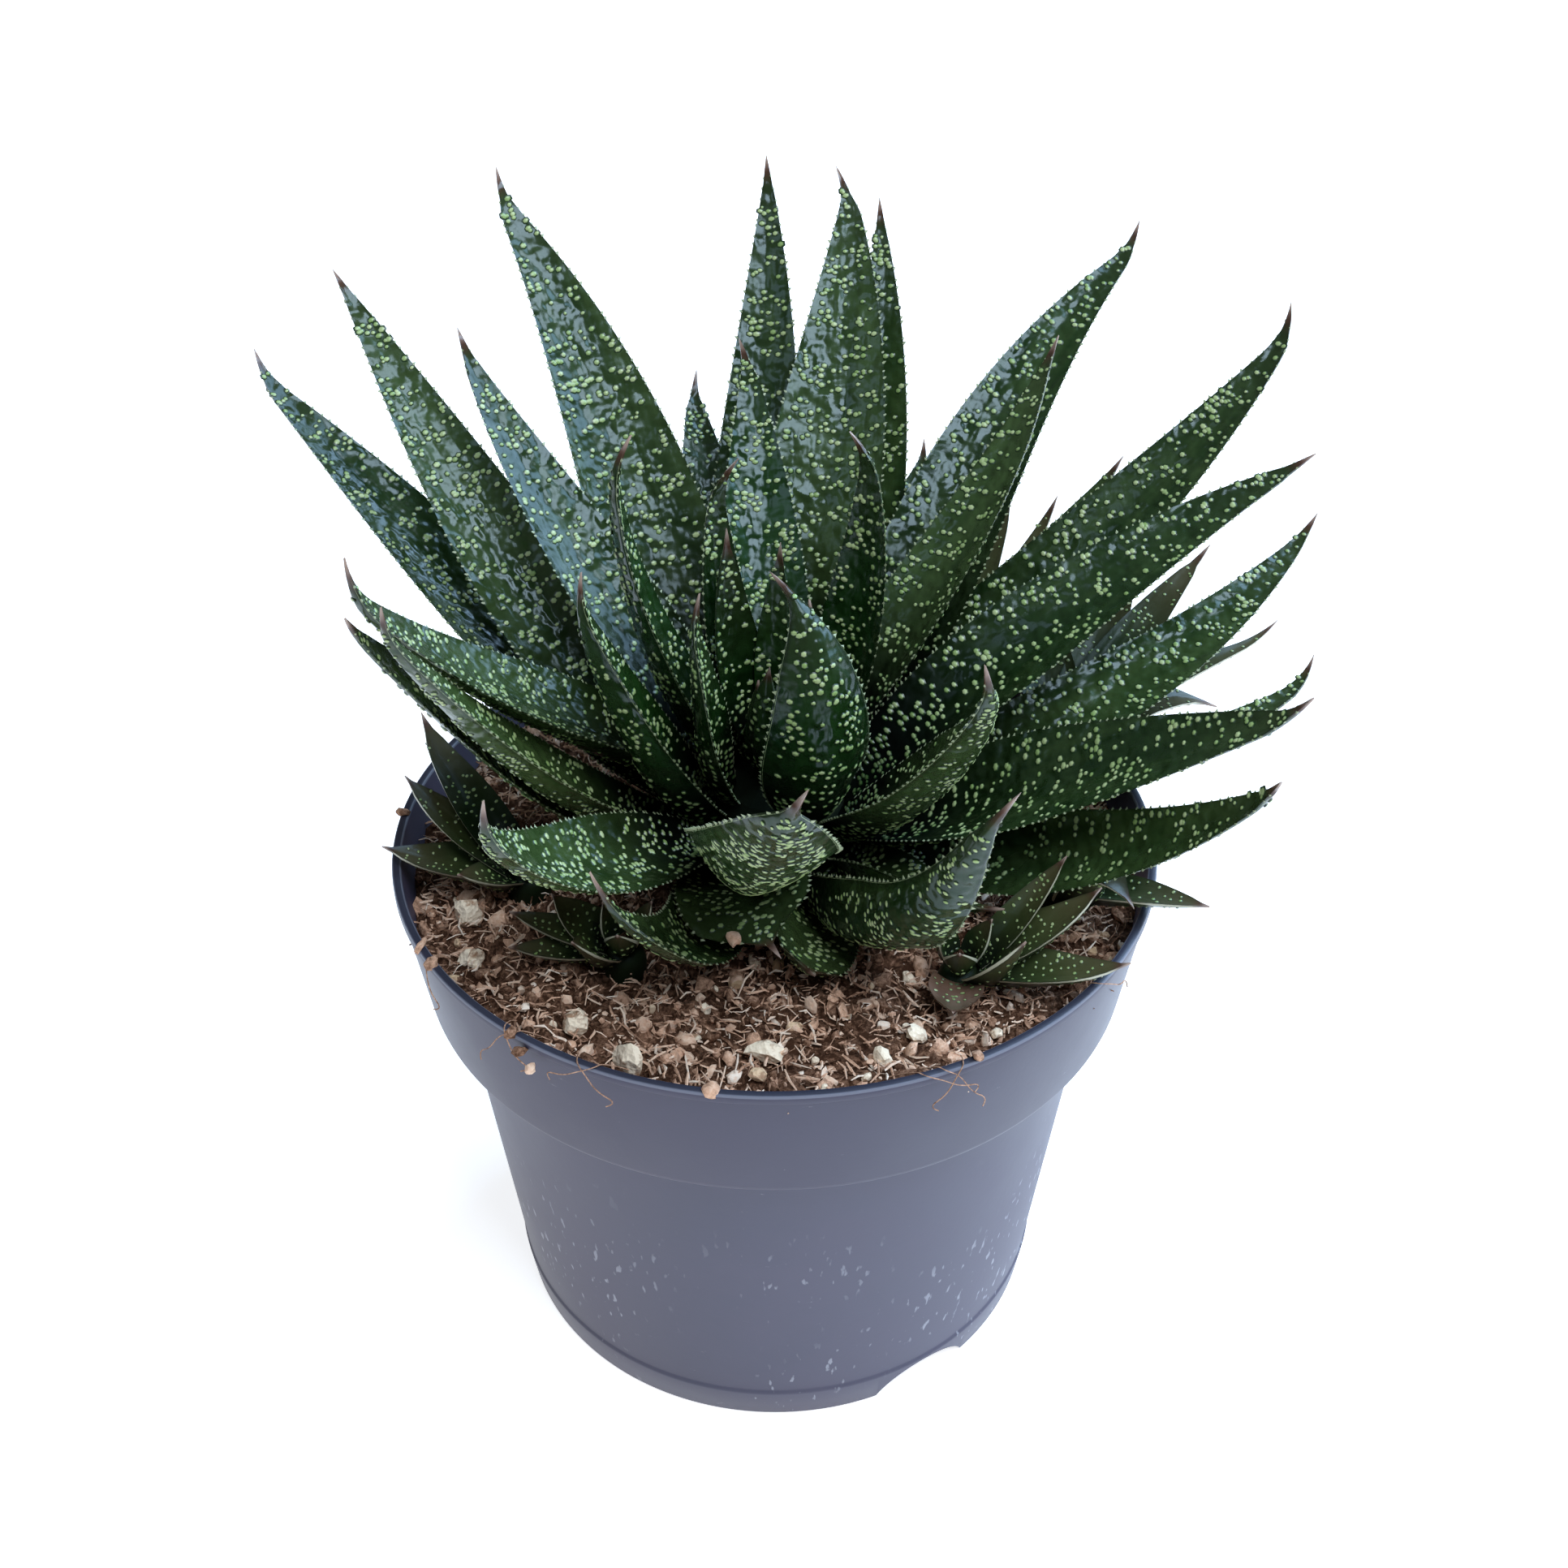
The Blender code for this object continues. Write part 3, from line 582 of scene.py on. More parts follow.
class Shader:
    """A Principled material whose colour, roughness and relief are worked out by nodes."""

    def __init__(self, name: str, **constants: float | tuple) -> None:
        """Make the material.

        Args:
            name: Its name.
            constants: Values of the shader's own sockets, with _ for a space.
        """
        self.material = bpy.data.materials.new(name)
        self.material.use_nodes = True
        self.tree = self.material.node_tree
        self.surface = self.tree.nodes["Principled BSDF"]
        for socket, value in constants.items():
            self.surface.inputs[socket.replace("_", " ")].default_value = value

    def node(self, kind: str, inputs: dict | None = None, **settings) -> Node:
        """Add a node.

        Args:
            kind: Its type, without the ShaderNode before it.
            inputs: A value or another node's socket for each of its sockets.
            settings: Its own settings.

        Returns:
            The new node.
        """
        made = self.tree.nodes.new("ShaderNode" + kind)
        for key, value in settings.items():
            setattr(made, key, value)
        for key, value in (inputs or {}).items():
            self.put(made.inputs[key], value)
        return made

    def put(self, socket: NodeSocket, value: Value) -> None:
        """Link a socket to another one, or set its value.

        Args:
            socket: The socket that is fed.
            value: Another node's socket, or a value.
        """
        if isinstance(value, NodeSocket):
            self.tree.links.new(value, socket)
        else:
            socket.default_value = value

    def mark(self, name: str) -> NodeSocket:
        """Return a named number of the mesh."""
        return self.node("Attribute", attribute_name=name).outputs["Fac"]

    def place(self) -> NodeSocket:
        """Return Object coordinates, in metres."""
        return self.node("TexCoord").outputs["Object"]

    def math(self, operation: str, a: Value, b: Value = 0.0, c: Value = 0.0) -> NodeSocket:
        """Return the result of a sum."""
        return self.node("Math", {0: a, 1: b, 2: c}, operation=operation).outputs[0]

    def times(self, a: Value, b: Value) -> NodeSocket:
        """Return a product."""
        return self.math("MULTIPLY", a, b)

    def stretch(self, where: Value, scale: Triple, turn: Triple = (0, 0, 0)) -> NodeSocket:
        """Return coordinates that are turned and scaled."""
        return self.node("Mapping", {"Vector": where, "Rotation": turn, "Scale": scale}).outputs[0]

    def noise(self, where: Value, scale: float, detail: float = 2.0, rough: float = 0.5
              ) -> NodeSocket:
        """Return a cloudy pattern from 0 to 1."""
        return self.node("TexNoise", {"Vector": where, "Scale": scale, "Detail": detail,
                                      "Roughness": rough}).outputs["Fac"]

    def ramp(self, value: Value, stops: tuple[tuple[float, Triple], ...]) -> NodeSocket:
        """Blend colours along a value.

        Args:
            value: The value.
            stops: The places of the colours along it, and the colours.

        Returns:
            The colour.
        """
        made = self.node("ValToRGB", {"Fac": value})
        elements = made.color_ramp.elements
        while len(elements) < len(stops):
            elements.new(0.5)
        for element, (position, colour) in zip(elements, stops):
            element.position = position
            element.color = (*colour, 1)
        return made.outputs["Color"]

    def step(self, value: Value, low: float, high: float, a: float = 0.0, b: float = 1.0
             ) -> NodeSocket:
        """Return a number that runs from a to b while the value runs from low to high."""
        made = self.node("MapRange", {"Value": value, "From Min": low, "From Max": high,
                                      "To Min": a, "To Max": b}, interpolation_type="SMOOTHSTEP")
        return made.outputs[0]

    def mix(self, share: Value, a: Value, b: Value) -> NodeSocket:
        """Blend two colours.

        Args:
            share: How much of the second.
            a: The first, a socket or a colour.
            b: The second.

        Returns:
            The blend.
        """
        made = self.node("Mix", {0: share}, data_type="RGBA")
        for key, value in ((6, a), (7, b)):
            self.put(made.inputs[key], (*value, 1) if isinstance(value, tuple) else value)
        return made.outputs[2]

    def finish(self, colour: Value, roughness: Value | None,
               *reliefs: tuple[NodeSocket, float]) -> Material:
        """Connect the shader.

        Args:
            colour: Base colour.
            roughness: A socket, where it varies.
            reliefs: Pairs of height and its depth in millimetres.

        Returns:
            The finished material.
        """
        self.put(self.surface.inputs["Base Color"], colour)
        if roughness is not None:
            self.put(self.surface.inputs["Roughness"], roughness)
        normal = None
        for height, depth in reliefs:
            bump = self.node("Bump", {"Height": height, "Distance": depth * MM, "Strength": 1.0})
            if normal:
                self.put(bump.inputs["Normal"], normal)
            normal = bump.outputs["Normal"]
        if normal:
            self.put(self.surface.inputs["Normal"], normal)
        return self.material


@dataclass(frozen=True)
class LeafSkin:
    """Glossy fleshy skin: green, rippled along the leaf, with a cream margin, a dry tip and
    painted shade that makes its base near-black.
    """
    name: str
    dark: Triple
    light: Triple
    # painted shade: the near-black that the leaf's base is blended to, and the margins' rim partly
    base: Triple = (0.0012, 0.002, 0.0012)
    faded: Triple = (0.030, 0.042, 0.015)
    margin: Triple = (0.30, 0.36, 0.19)
    margin_width: float = 0.02
    tip: Triple = (0.085, 0.035, 0.024)
    thorn: Triple = (0.42, 0.30, 0.24)
    sheen: tuple[float, ...] = (0.80, 0.93, 1.0, 1.0)
    gloss: float = 0.42
    roughness: float = 0.21
    ripple: float = 0.6         # depths of the relief
    dents: float = 0.8
    grain: float = 0.015
    # painted shade: below the first share the base is near-black, fading out by the second; its
    # gloss is dropped there too
    base_shade_span: tuple[float, float] = (0.17, 0.6)       # shares of the length where the base ends
    fading: tuple[float, float] = (2.0, 24.0)       # from the tip: where the green fades,
    drying: tuple[float, float] = (1.5, 4.5)        # where it is dry
    thorny: tuple[float, float] = (0.3, 2.4)        # and where the thorn is

    def material(self) -> Material:
        """Blend the skin's colours from its base, painted near-black as shade, to its tip.

        Returns:
            The material.
        """
        shader = Shader(self.name, Specular_Tint=self.sheen, Specular_IOR_Level=self.gloss)
        mix, step, times, most = shader.mix, shader.step, shader.times, "MAXIMUM"
        place, tone, share = shader.place(), shader.mark("tone"), shader.mark("share")
        edge, tip = shader.mark("edge"), shader.mark("to_tip")
        lengthwise = shader.node("CombineXYZ", {"X": times(shader.mark("side"), 0.30),
                                                "Y": times(shader.mark("along"), 0.03),
                                                "Z": times(tone, 90.0)}).outputs[0]
        streaks = shader.noise(lengthwise, 1.0)
        dents, cloud = shader.noise(place, 400.0, 1.0, 0.4), shader.noise(place, 160.0, 3.0, 0.6)
        grain = shader.noise(place, 2200.0, 2.0, 0.6)
        shade = shader.math("MULTIPLY_ADD", cloud, 0.5, times(streaks, 0.5))
        shade = shader.math("MULTIPLY_ADD", tone, 0.35, shader.math("SUBTRACT", shade, 0.17))
        colour = mix(step(shade, 0.25, 0.75), self.dark, self.light)
        colour = mix(step(tip, *self.fading, 0.55, 0.0), colour, self.faded)
        # painted shade: the base is blended to near-black where the rosette is deep, and the
        # margins' rim 40 % towards it; the gloss drops to nearly none at the base
        dark = shader.math(most, step(edge, 0.4, 1.0, 0.4, 0.0),
                           step(share, *self.base_shade_span, 1.0, 0.0))
        colour = mix(dark, colour, self.base)
        gloss = step(share, *self.base_shade_span, 0.02, self.gloss)
        shader.put(shader.surface.inputs["Specular IOR Level"], gloss)
        dried = shader.math("ADD", edge, times(grain, 0.12))
        rim = step(dried, self.margin_width + 0.04, self.margin_width + 0.12, 0.9, 0.0)
        colour = mix(rim, colour, self.margin)
        colour = mix(step(tip, *self.drying, 0.95, 0.0), colour, self.tip)
        colour = mix(step(tip, *self.thorny, 0.9, 0.0), colour, self.thorn)
        rough = step(cloud, 0.3, 0.7, self.roughness - 0.05, self.roughness + 0.08)
        rough = shader.math(most, rough, step(share, 0.1, 0.5, 0.8, 0.0))
        return shader.finish(colour, rough, (streaks, self.ripple), (dents, self.dents),
                             (grain, self.grain))


@dataclass(frozen=True)
class SpotSkin:
    """Pale raised spots on a foot of the leaf's dark green, kept dark as painted shade round each
    spot; near the leaf's base they are dimmed to it as painted shade.
    """
    name: str = "spot_skin"
    # the leaf's own dark green, kept dark as painted shade round the foot of each spot
    foot: Triple = (0.005, 0.024, 0.004)
    top: Triple = (0.24, 0.35, 0.11)
    palest: Triple = (0.45, 0.52, 0.25)
    roughness: float = 0.3

    def material(self) -> Material:
        """Blend from the foot of a spot to its top.

        Returns:
            The material.
        """
        shader = Shader(self.name, Roughness=self.roughness)
        pale = shader.mix(shader.mark("tone"), self.top, self.palest)
        # painted shade: spots whose lit mark is low, near the leaf's base, stay the foot's dark
        # green
        share = shader.times(shader.step(shader.mark("crest"), 0.35, 0.75),
                             shader.step(shader.mark("lit"), -0.25, 1.0))
        grain = shader.noise(shader.place(), 3000.0)
        return shader.finish(shader.mix(share, self.foot, pale), None, (grain, 0.02))


@dataclass(frozen=True)
class Horn:
    """Cream-coloured horny teeth of the margin."""
    name: str = "horn"
    pale: Triple = (0.34, 0.38, 0.24)
    green: Triple = (0.34, 0.38, 0.20)

    def material(self) -> Material:
        """Blend the two creams.

        Returns:
            The material.
        """
        shader = Shader(self.name, Roughness=0.4)
        spread = shader.noise(shader.place(), 400.0)
        return shader.finish(shader.mix(spread, self.pale, self.green), None)


@dataclass(frozen=True)
class Moulded:
    """Moulded bluish-grey plastic with flow marks, pale flecks and scuffs, painted shade on its
    collar and rim top and a painted highlight on the rim's outer corner.
    """
    name: str = "moulded_plastic"
    colour: Triple = (0.053, 0.050, 0.084)
    worn: Triple = (0.074, 0.066, 0.102)
    # painted shade: the collar is painted darker, against the floor's light that it catches
    collar: Triple = (0.042, 0.036, 0.064)
    # painted shade: the dark rim top
    lip: Triple = (0.030, 0.031, 0.050)
    # painted highlight: the pale band on the rim's rounded outer corner
    edge: Triple = (0.150, 0.155, 0.200)
    fleck: Triple = (0.50, 0.51, 0.56)
    collar_foot: tuple[float, float] = (0.0650, 0.0656)     # where each begins, in metres
    highlight_foot: tuple[float, float] = (0.08808, 0.08820)
    rim_shade_foot: tuple[float, float] = (0.08848, 0.08858)
    flecked: tuple[float, float] = (0.060, 0.025)

    def material(self) -> Material:
        """Blend the colours by height, with painted shade on the collar and the rim top and a
        painted highlight on the rim's outer corner, and with flecks and scuffs over them.

        Returns:
            The material.
        """
        shader = Shader(self.name, Specular_IOR_Level=0.35)
        mix, step, times, place = shader.mix, shader.step, shader.times, shader.place()
        height = shader.node("SeparateXYZ", {0: place}).outputs["Z"]
        cloud, fine = shader.noise(place, 22.0, 4.0, 0.6), shader.noise(place, 600.0, 3.0, 0.6)
        colour = mix(step(cloud, 0.3, 0.7), self.colour, self.worn)
        # painted shade: three quarters of the way to the darker collar colour above the collar's
        # foot
        colour = mix(step(height, *self.collar_foot, 0.0, 0.75), colour, self.collar)
        # painted highlight on the rim's outer corner
        colour = mix(step(height, *self.highlight_foot), colour, self.edge)
        # painted shade on the rim top
        colour = mix(step(height, *self.rim_shade_foot), colour, self.lip)
        slanted = shader.stretch(place, (1.0, 1.0, 0.38), (0.5, 0.3, 0.4))
        dashes, patches = shader.noise(slanted, 900.0, 2.0, 0.4), shader.noise(place, 38.0)
        share = times(step(dashes, 0.64, 0.72), step(height, *self.flecked))
        share = times(times(share, step(patches, 0.42, 0.62)), 0.42)
        colour = mix(share, colour, self.fleck)
        rings = shader.node("TexWave", {"Vector": place, "Scale": 9.0, "Distortion": 6.0,
                                        "Detail": 3.0}, bands_direction="Z").outputs["Fac"]
        scuffs = shader.noise(shader.stretch(place, (1, 1, 4)), 190.0, 5.0, 0.7)
        colour = mix(step(scuffs, 0.69, 0.76, 0.0, 0.35), colour, self.fleck)
        rough = step(cloud, 0.3, 0.7, 0.40, 0.50)
        return shader.finish(colour, rough, (rings, 0.03), (fine, 0.015))


@dataclass(frozen=True)
class Peat:
    """Dry potting mix: browns that differ from crumb to crumb."""
    name: str = "peat"
    browns: tuple[tuple[float, Triple], ...] = (
        (0.0, (0.050, 0.022, 0.012)), (0.2, (0.215, 0.112, 0.068)), (0.5, (0.720, 0.430, 0.285)),
        (0.8, (0.90, 0.65, 0.48)), (1.0, (0.95, 0.80, 0.66)),
    )

    def material(self) -> Material:
        """Look a brown up for each crumb.

        Returns:
            The material.
        """
        shader = Shader(self.name, Roughness=1.0, Specular_IOR_Level=0.05)
        grain = shader.noise(shader.place(), 1300.0, 4.0, 0.7)
        shade = shader.math("SUBTRACT", shader.mark("tone"), 0.47)
        colour = shader.ramp(shader.math("MULTIPLY_ADD", grain, 1.0, shade), self.browns)
        return shader.finish(colour, None, (grain, 0.3))


@dataclass(frozen=True)
class Pumice:
    """Pale porous grit, dusted with brown."""
    name: str = "pumice"
    pale: Triple = (0.95, 0.78, 0.58)
    tan: Triple = (0.72, 0.48, 0.28)
    dust: Triple = (0.42, 0.24, 0.14)

    def material(self) -> Material:
        """Dust the pale stone with brown.

        Returns:
            The material.
        """
        shader = Shader(self.name, Roughness=0.9)
        place = shader.place()
        cloud = shader.noise(place, 420.0, 4.0, 0.65)
        colour = shader.mix(shader.step(shader.mark("tone"), 0.5, 0.9), self.pale, self.tan)
        colour = shader.mix(shader.step(cloud, 0.52, 0.68), colour, self.dust)
        pores = shader.node("TexVoronoi", {"Vector": place, "Scale": 1500.0}).outputs["Distance"]
        return shader.finish(colour, None, (pores, 0.2), (cloud, 0.3))


@dataclass(frozen=True)
class StemSkin:
    """Near-black green, slightly fibrous skin of the hidden stem: its own dark green, darkened
    further as painted shade of the rosette's heart.
    """
    name: str = "stem_skin"
    # painted shade: both greens are near-black for the shade in the rosette's heart
    dark: Triple = (0.002, 0.004, 0.002)
    light: Triple = (0.006, 0.010, 0.004)

    def material(self) -> Material:
        """Blend the two greens.

        Returns:
            The material.
        """
        shader = Shader(self.name, Roughness=0.9, Specular_IOR_Level=0.1)
        spread = shader.noise(shader.place(), 260.0, 4.0)
        return shader.finish(shader.mix(spread, self.dark, self.light), None, (spread, 0.2))


class LeafMaker:
    """Makes the finished mesh of a leaf: its skin, its spots and its teeth."""

    columns: int = 28
    ring_step: float = 1.9
    tooth_pitch: float = 1.4
    tooth_foot: tuple[float, float] = (0.36, 0.2)       # half its length and half its thickness
    tooth_depth: float = 0.06       # how deep it sits in the skin

    def __init__(self, rng: Generator) -> None:
        """Model the small shapes and make the finishes that all leaves share.

        Args:
            rng: Seeded random numbers.
        """
        self.rng = rng
        self.spot, self.wart, self.tooth = (template(kind) for kind in ("spot", "wart", "tooth"))
        self.spot_skin, self.horn = SpotSkin().material(), Horn().material()
        face = np.sin(np.linspace(1, -1, self.columns // 2 - 1) * math.pi / 2)
        self.across = np.concatenate([[1], face, [-1], face[::-1]])
        self.level = np.concatenate([[0.5], np.ones(len(face)), [0.5], np.zeros(len(face))])

    def skin(self, form: LeafForm, tone: float) -> Object:
        """Shape a sphere's rings into the leaf's skin.

        Args:
            form: The leaf.
            tone: Its own shade, from 0 to 1.

        Returns:
            The skin, with named numbers for its material.
        """
        leaf = form.leaf
        rings = max(12, round(leaf.reach / self.ring_step))
        skin = primitive("uv_sphere", segments=self.columns, ring_count=rings, radius=1)
        co = np.array([vert.co for vert in skin.data.vertices])
        ring = np.rint(np.arccos(np.clip(co[:, 2], -1, 1)) / math.pi * rings)
        turn = np.arctan2(co[:, 1], co[:, 0]) / (2 * math.pi)
        column = np.rint(turn * self.columns).astype(int) % self.columns
        s = 1 - (1 - np.clip((ring - 1) / (rings - 2), 0, 1))**1.25
        pole = (ring == 0) | (ring == rings)
        across = np.where(pole, 0.0, self.across[column])
        level = np.where(pole, 0.5, self.level[column])
        points = form.surface(s, across, level)
        skin.data.vertices.foreach_set("co", (points * MM).ravel())
        width = form.half_width(s)
        edge = (1 - abs(across)) * width + abs(level - 0.5)
        marks = {"side": across * width, "along": s * leaf.reach, "edge": edge,
                 "to_tip": (1 - s) * max(leaf.reach, 40), "share": s, "tone": tone}
        for name, values in marks.items():
            put_mark(skin, name, values)
        return skin

    def spots(self, form: LeafForm, pattern: SpotPattern, face: Face) -> Copies:
        """Raise the spots of one face.

        Args:
            form: The leaf.
            pattern: How they are strewn.
            face: Which face they stand on.

        Returns:
            The spots.
        """
        s, across, wide, long = strew(form, pattern, self.rng)
        here, axes = form.patch(s, across, face)
        points, faces = self.wart if pattern.wart else self.spot
        sizes = np.stack([wide, long, np.full(len(s), pattern.height)], axis=1)
        shaped = np.einsum("pk,ck,ckx->cpx", points, sizes, axes) + here[:, None]
        crest = np.broadcast_to(np.clip(points[:, 2], 0, 1), shaped.shape[:2])
        # painted shade: spots near the leaf's base get a low lit mark, which dims them to their
        # foot colour
        lit = np.clip((s - 0.06) / 0.3, 0.1, 1)[:, None]
        copies = Copies()
        copies.add(shaped, faces, crest=crest, lit=lit, tone=self.rng.random((len(s), 1)))
        return copies

    def teeth(self, form: LeafForm) -> Copies:
        """Raise the small teeth along both margins.

        Args:
            form: The leaf.

        Returns:
            The teeth.
        """
        leaf = form.leaf
        count = int(leaf.reach * 0.9 / self.tooth_pitch)
        s = np.linspace(0.07, 1 - 3 / leaf.reach, count)
        s = np.concatenate([s, s]) + self.rng.normal(0, 0.25, 2 * count) / leaf.reach
        across = np.repeat([1.0, -1.0], count)
        here, inner = form.surface(s, across, 0.2), form.surface(s, across * 0.9, 0.2)
        along = form.along(s, across, Face.UPPER.value)
        out = unit(unit(here - inner) + 0.45 * along)
        third = unit(np.cross(out, along))
        points, faces = self.tooth
        height = self.rng.uniform(0.35, 0.7, len(s)) * np.clip(form.half_width(s) / 3, 0.4, 1)
        length, thick = (np.full(len(s), size) for size in self.tooth_foot)
        sizes = np.stack([length, thick, height], axis=1)
        axes = np.stack([along, third, out], axis=1)
        shaped = np.einsum("pk,ck,ckx->cpx", points, sizes, axes) + here[:, None]
        shaped -= out[:, None] * self.tooth_depth
        copies = Copies()
        copies.add(shaped, faces)
        return copies

    def make(self, leaf: Leaf, stem: Stem, skin: Material, upper: Pattern,
             lower: Pattern, toothed: bool = True) -> Object:
        """Make one finished leaf.

        Args:
            leaf: Its driving dimensions.
            stem: What it stands on.
            skin: Its skin's material.
            upper: Spots of its upper face.
            lower: Spots of its lower face.
            toothed: Whether its margins have teeth.

        Returns:
            One object.
        """
        form = LeafForm(leaf, stem, self.rng.uniform(-2.4, 2.4))
        body = self.skin(form, self.rng.random())
        body.data.materials.append(skin)
        parts = [body]
        for pattern, face in ((upper, Face.UPPER), (lower, Face.LOWER)):
            copies = self.spots(form, pattern.value, face)
            if copies.count:
                parts.append(copies.to_object("spots", self.spot_skin))
        if toothed:
            parts.append(self.teeth(form).to_object("teeth", self.horn))
        return join(parts, "leaf", 75.0)


def mark_plain(piece: Object, share: float) -> None:
    """Give a stem the numbers that a leaf's skin reads, as if it were plain leaf.

    Args:
        piece: The stem.
        share: The share of a leaf's length that it looks like, which sets how much of a leaf
            base's painted shade it takes.
    """
    for name, value in (("side", 0.0), ("along", 0.0), ("edge", 5.0), ("to_tip", 50.0),
                        ("share", share), ("tone", 0.2)):
        put_mark(piece, name, value)


@dataclass
class Rosette:
    """The main plant: its stem, its large leaves and the youngest ones in its heart."""
    maker: LeafMaker
    stem: Stem = Stem((0.0, 0.0, 88.0), (13.0, 13.0, 11.0))
    heart_stem: Stem = Stem((0.0, 0.0, 99.6), (2.2, 2.2, 1.8), 0.6)
    front: tuple[float, float] = (-161.0, -40.0)    # ways of the leaves that curl up in front
    outer: int = 29             # the leaves up to this one have the outer ones' skin
    cone: Triple = (3.2, 2.0, 2.4)      # of the heart: radii below and above, and height

    def build(self) -> None:
        """Build every large leaf and the heart."""
        olive = LeafSkin("outer_leaf_skin", (0.010, 0.026, 0.006), (0.046, 0.078, 0.022))
        green = LeafSkin("inner_leaf_skin", (0.003, 0.015, 0.002), (0.012, 0.040, 0.007))
        outer, inner = olive.material(), green.material()
        for number, leaf in enumerate(LEAVES, 1):
            curled = self.front[0] < leaf.way < self.front[1]
            young = number > self.outer
            skin = inner if young else outer
            upper = Pattern.CLOSE if curled or young else Pattern.ROUND
            lower = Pattern.CLOSE if young else Pattern.DASHES if curled else Pattern.SPARSE
            piece = self.maker.make(leaf, self.stem, skin, upper, lower)
            piece.name = piece.data.name = f"leaf_{number:02d}_fine"
            hand_over(piece, "leaf", f"leaf_{number:02d}")
        self.build_heart(inner)
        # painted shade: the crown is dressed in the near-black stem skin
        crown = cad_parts["crown"]
        crown.data.materials.clear()
        crown.data.materials.append(StemSkin().material())

    def build_heart(self, skin: Material) -> None:
        """Build the youngest leaves, on a small cone.

        Args:
            skin: Their finish.
        """
        below, above, height = self.cone
        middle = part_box("heart")[0].z / MM + height / 2
        cone = primitive("cone", vertices=20, radius1=below * MM, radius2=above * MM,
                         depth=height * MM, location=(0, 0, middle * MM))
        cone.data.materials.append(skin)
        # painted shade: at share 0 the cone takes the leaf base's full near-black
        mark_plain(cone, 0.0)
        leaves = [self.maker.make(leaf, self.heart_stem, skin, Pattern.CLOSE, Pattern.CLOSE, False)
                  for leaf in HEART_LEAVES]
        piece = join([cone, *leaves], "heart_fine")
        hand_over(piece, "heart", "heart")


@dataclass
class Offsets:
    """The young rosettes that stand in the soil round the main plant."""
    maker: LeafMaker
    height: float = 86.0
    radii: Triple = (2.4, 2.4, 2.2)
    stem_radius: float = 3.2
    stem_top: float = 87.2
    rounding: float = 2.2
    # painted shade: the stems take as much of a leaf base's near-black as a leaf has at this share
    painted_shade_share: float = 0.3                 # the stems are as dark as a leaf at this share
    dried: str = "offset_front_right"       # its last leaf is brown
    buds: tuple[Leaf, ...] = (              # the youngest leaves, in each one's middle
        young(20, 62, 10, 5, 60, 1.4), young(150, 66, 9, 5, 60, 1.4),
        young(265, 58, 8, 5, 60, 1.4),
    )

    def build(self) -> None:
        """Build each young rosette as one piece."""
        # painted shade: the young skin's base colour is a dark green for the shade at the offsets'
        # bases
        skin = LeafSkin("young_leaf_skin", (0.012, 0.026, 0.006), (0.050, 0.066, 0.020),
                        faded=(0.110, 0.080, 0.040),
                        base=(0.008, 0.012, 0.006), margin=(0.52, 0.50, 0.36),
                        margin_width=0.34, roughness=0.33, dents=0.15).material()
        dry = LeafSkin("dry_leaf_skin", (0.120, 0.065, 0.045), (0.300, 0.190, 0.140),
                       base=(0.12, 0.07, 0.045), margin=(0.40, 0.28, 0.20), dents=0.2).material()
        for offset in OFFSETS:
            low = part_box(offset.name)[0].z / MM
            depth = self.stem_top - low
            place = Vector((offset.x, offset.y, low + depth / 2)) * MM
            foot = primitive("cylinder", vertices=24, radius=self.stem_radius * MM,
                             depth=depth * MM, location=place)
            bevel = foot.modifiers.new("Round", "BEVEL")
            bevel.width, bevel.segments = self.rounding * MM, 3
            bpy.ops.object.modifier_apply(modifier="Round")
            foot.data.materials.append(skin)
            mark_plain(foot, self.painted_shade_share)
            stem = Stem((offset.x, offset.y, self.height), self.radii, 0.8)
            leaves = [self.maker.make(leaf, stem, skin, Pattern.YOUNG, Pattern.YOUNG, False)
                      for leaf in (*offset.leaves, *self.buds)]
            if offset.name == self.dried:
                leaves[-1 - len(self.buds)].data.materials[0] = dry
            piece = join([foot, *leaves], offset.name + "_fine")
            hand_over(piece, "young_leaf", offset.name)


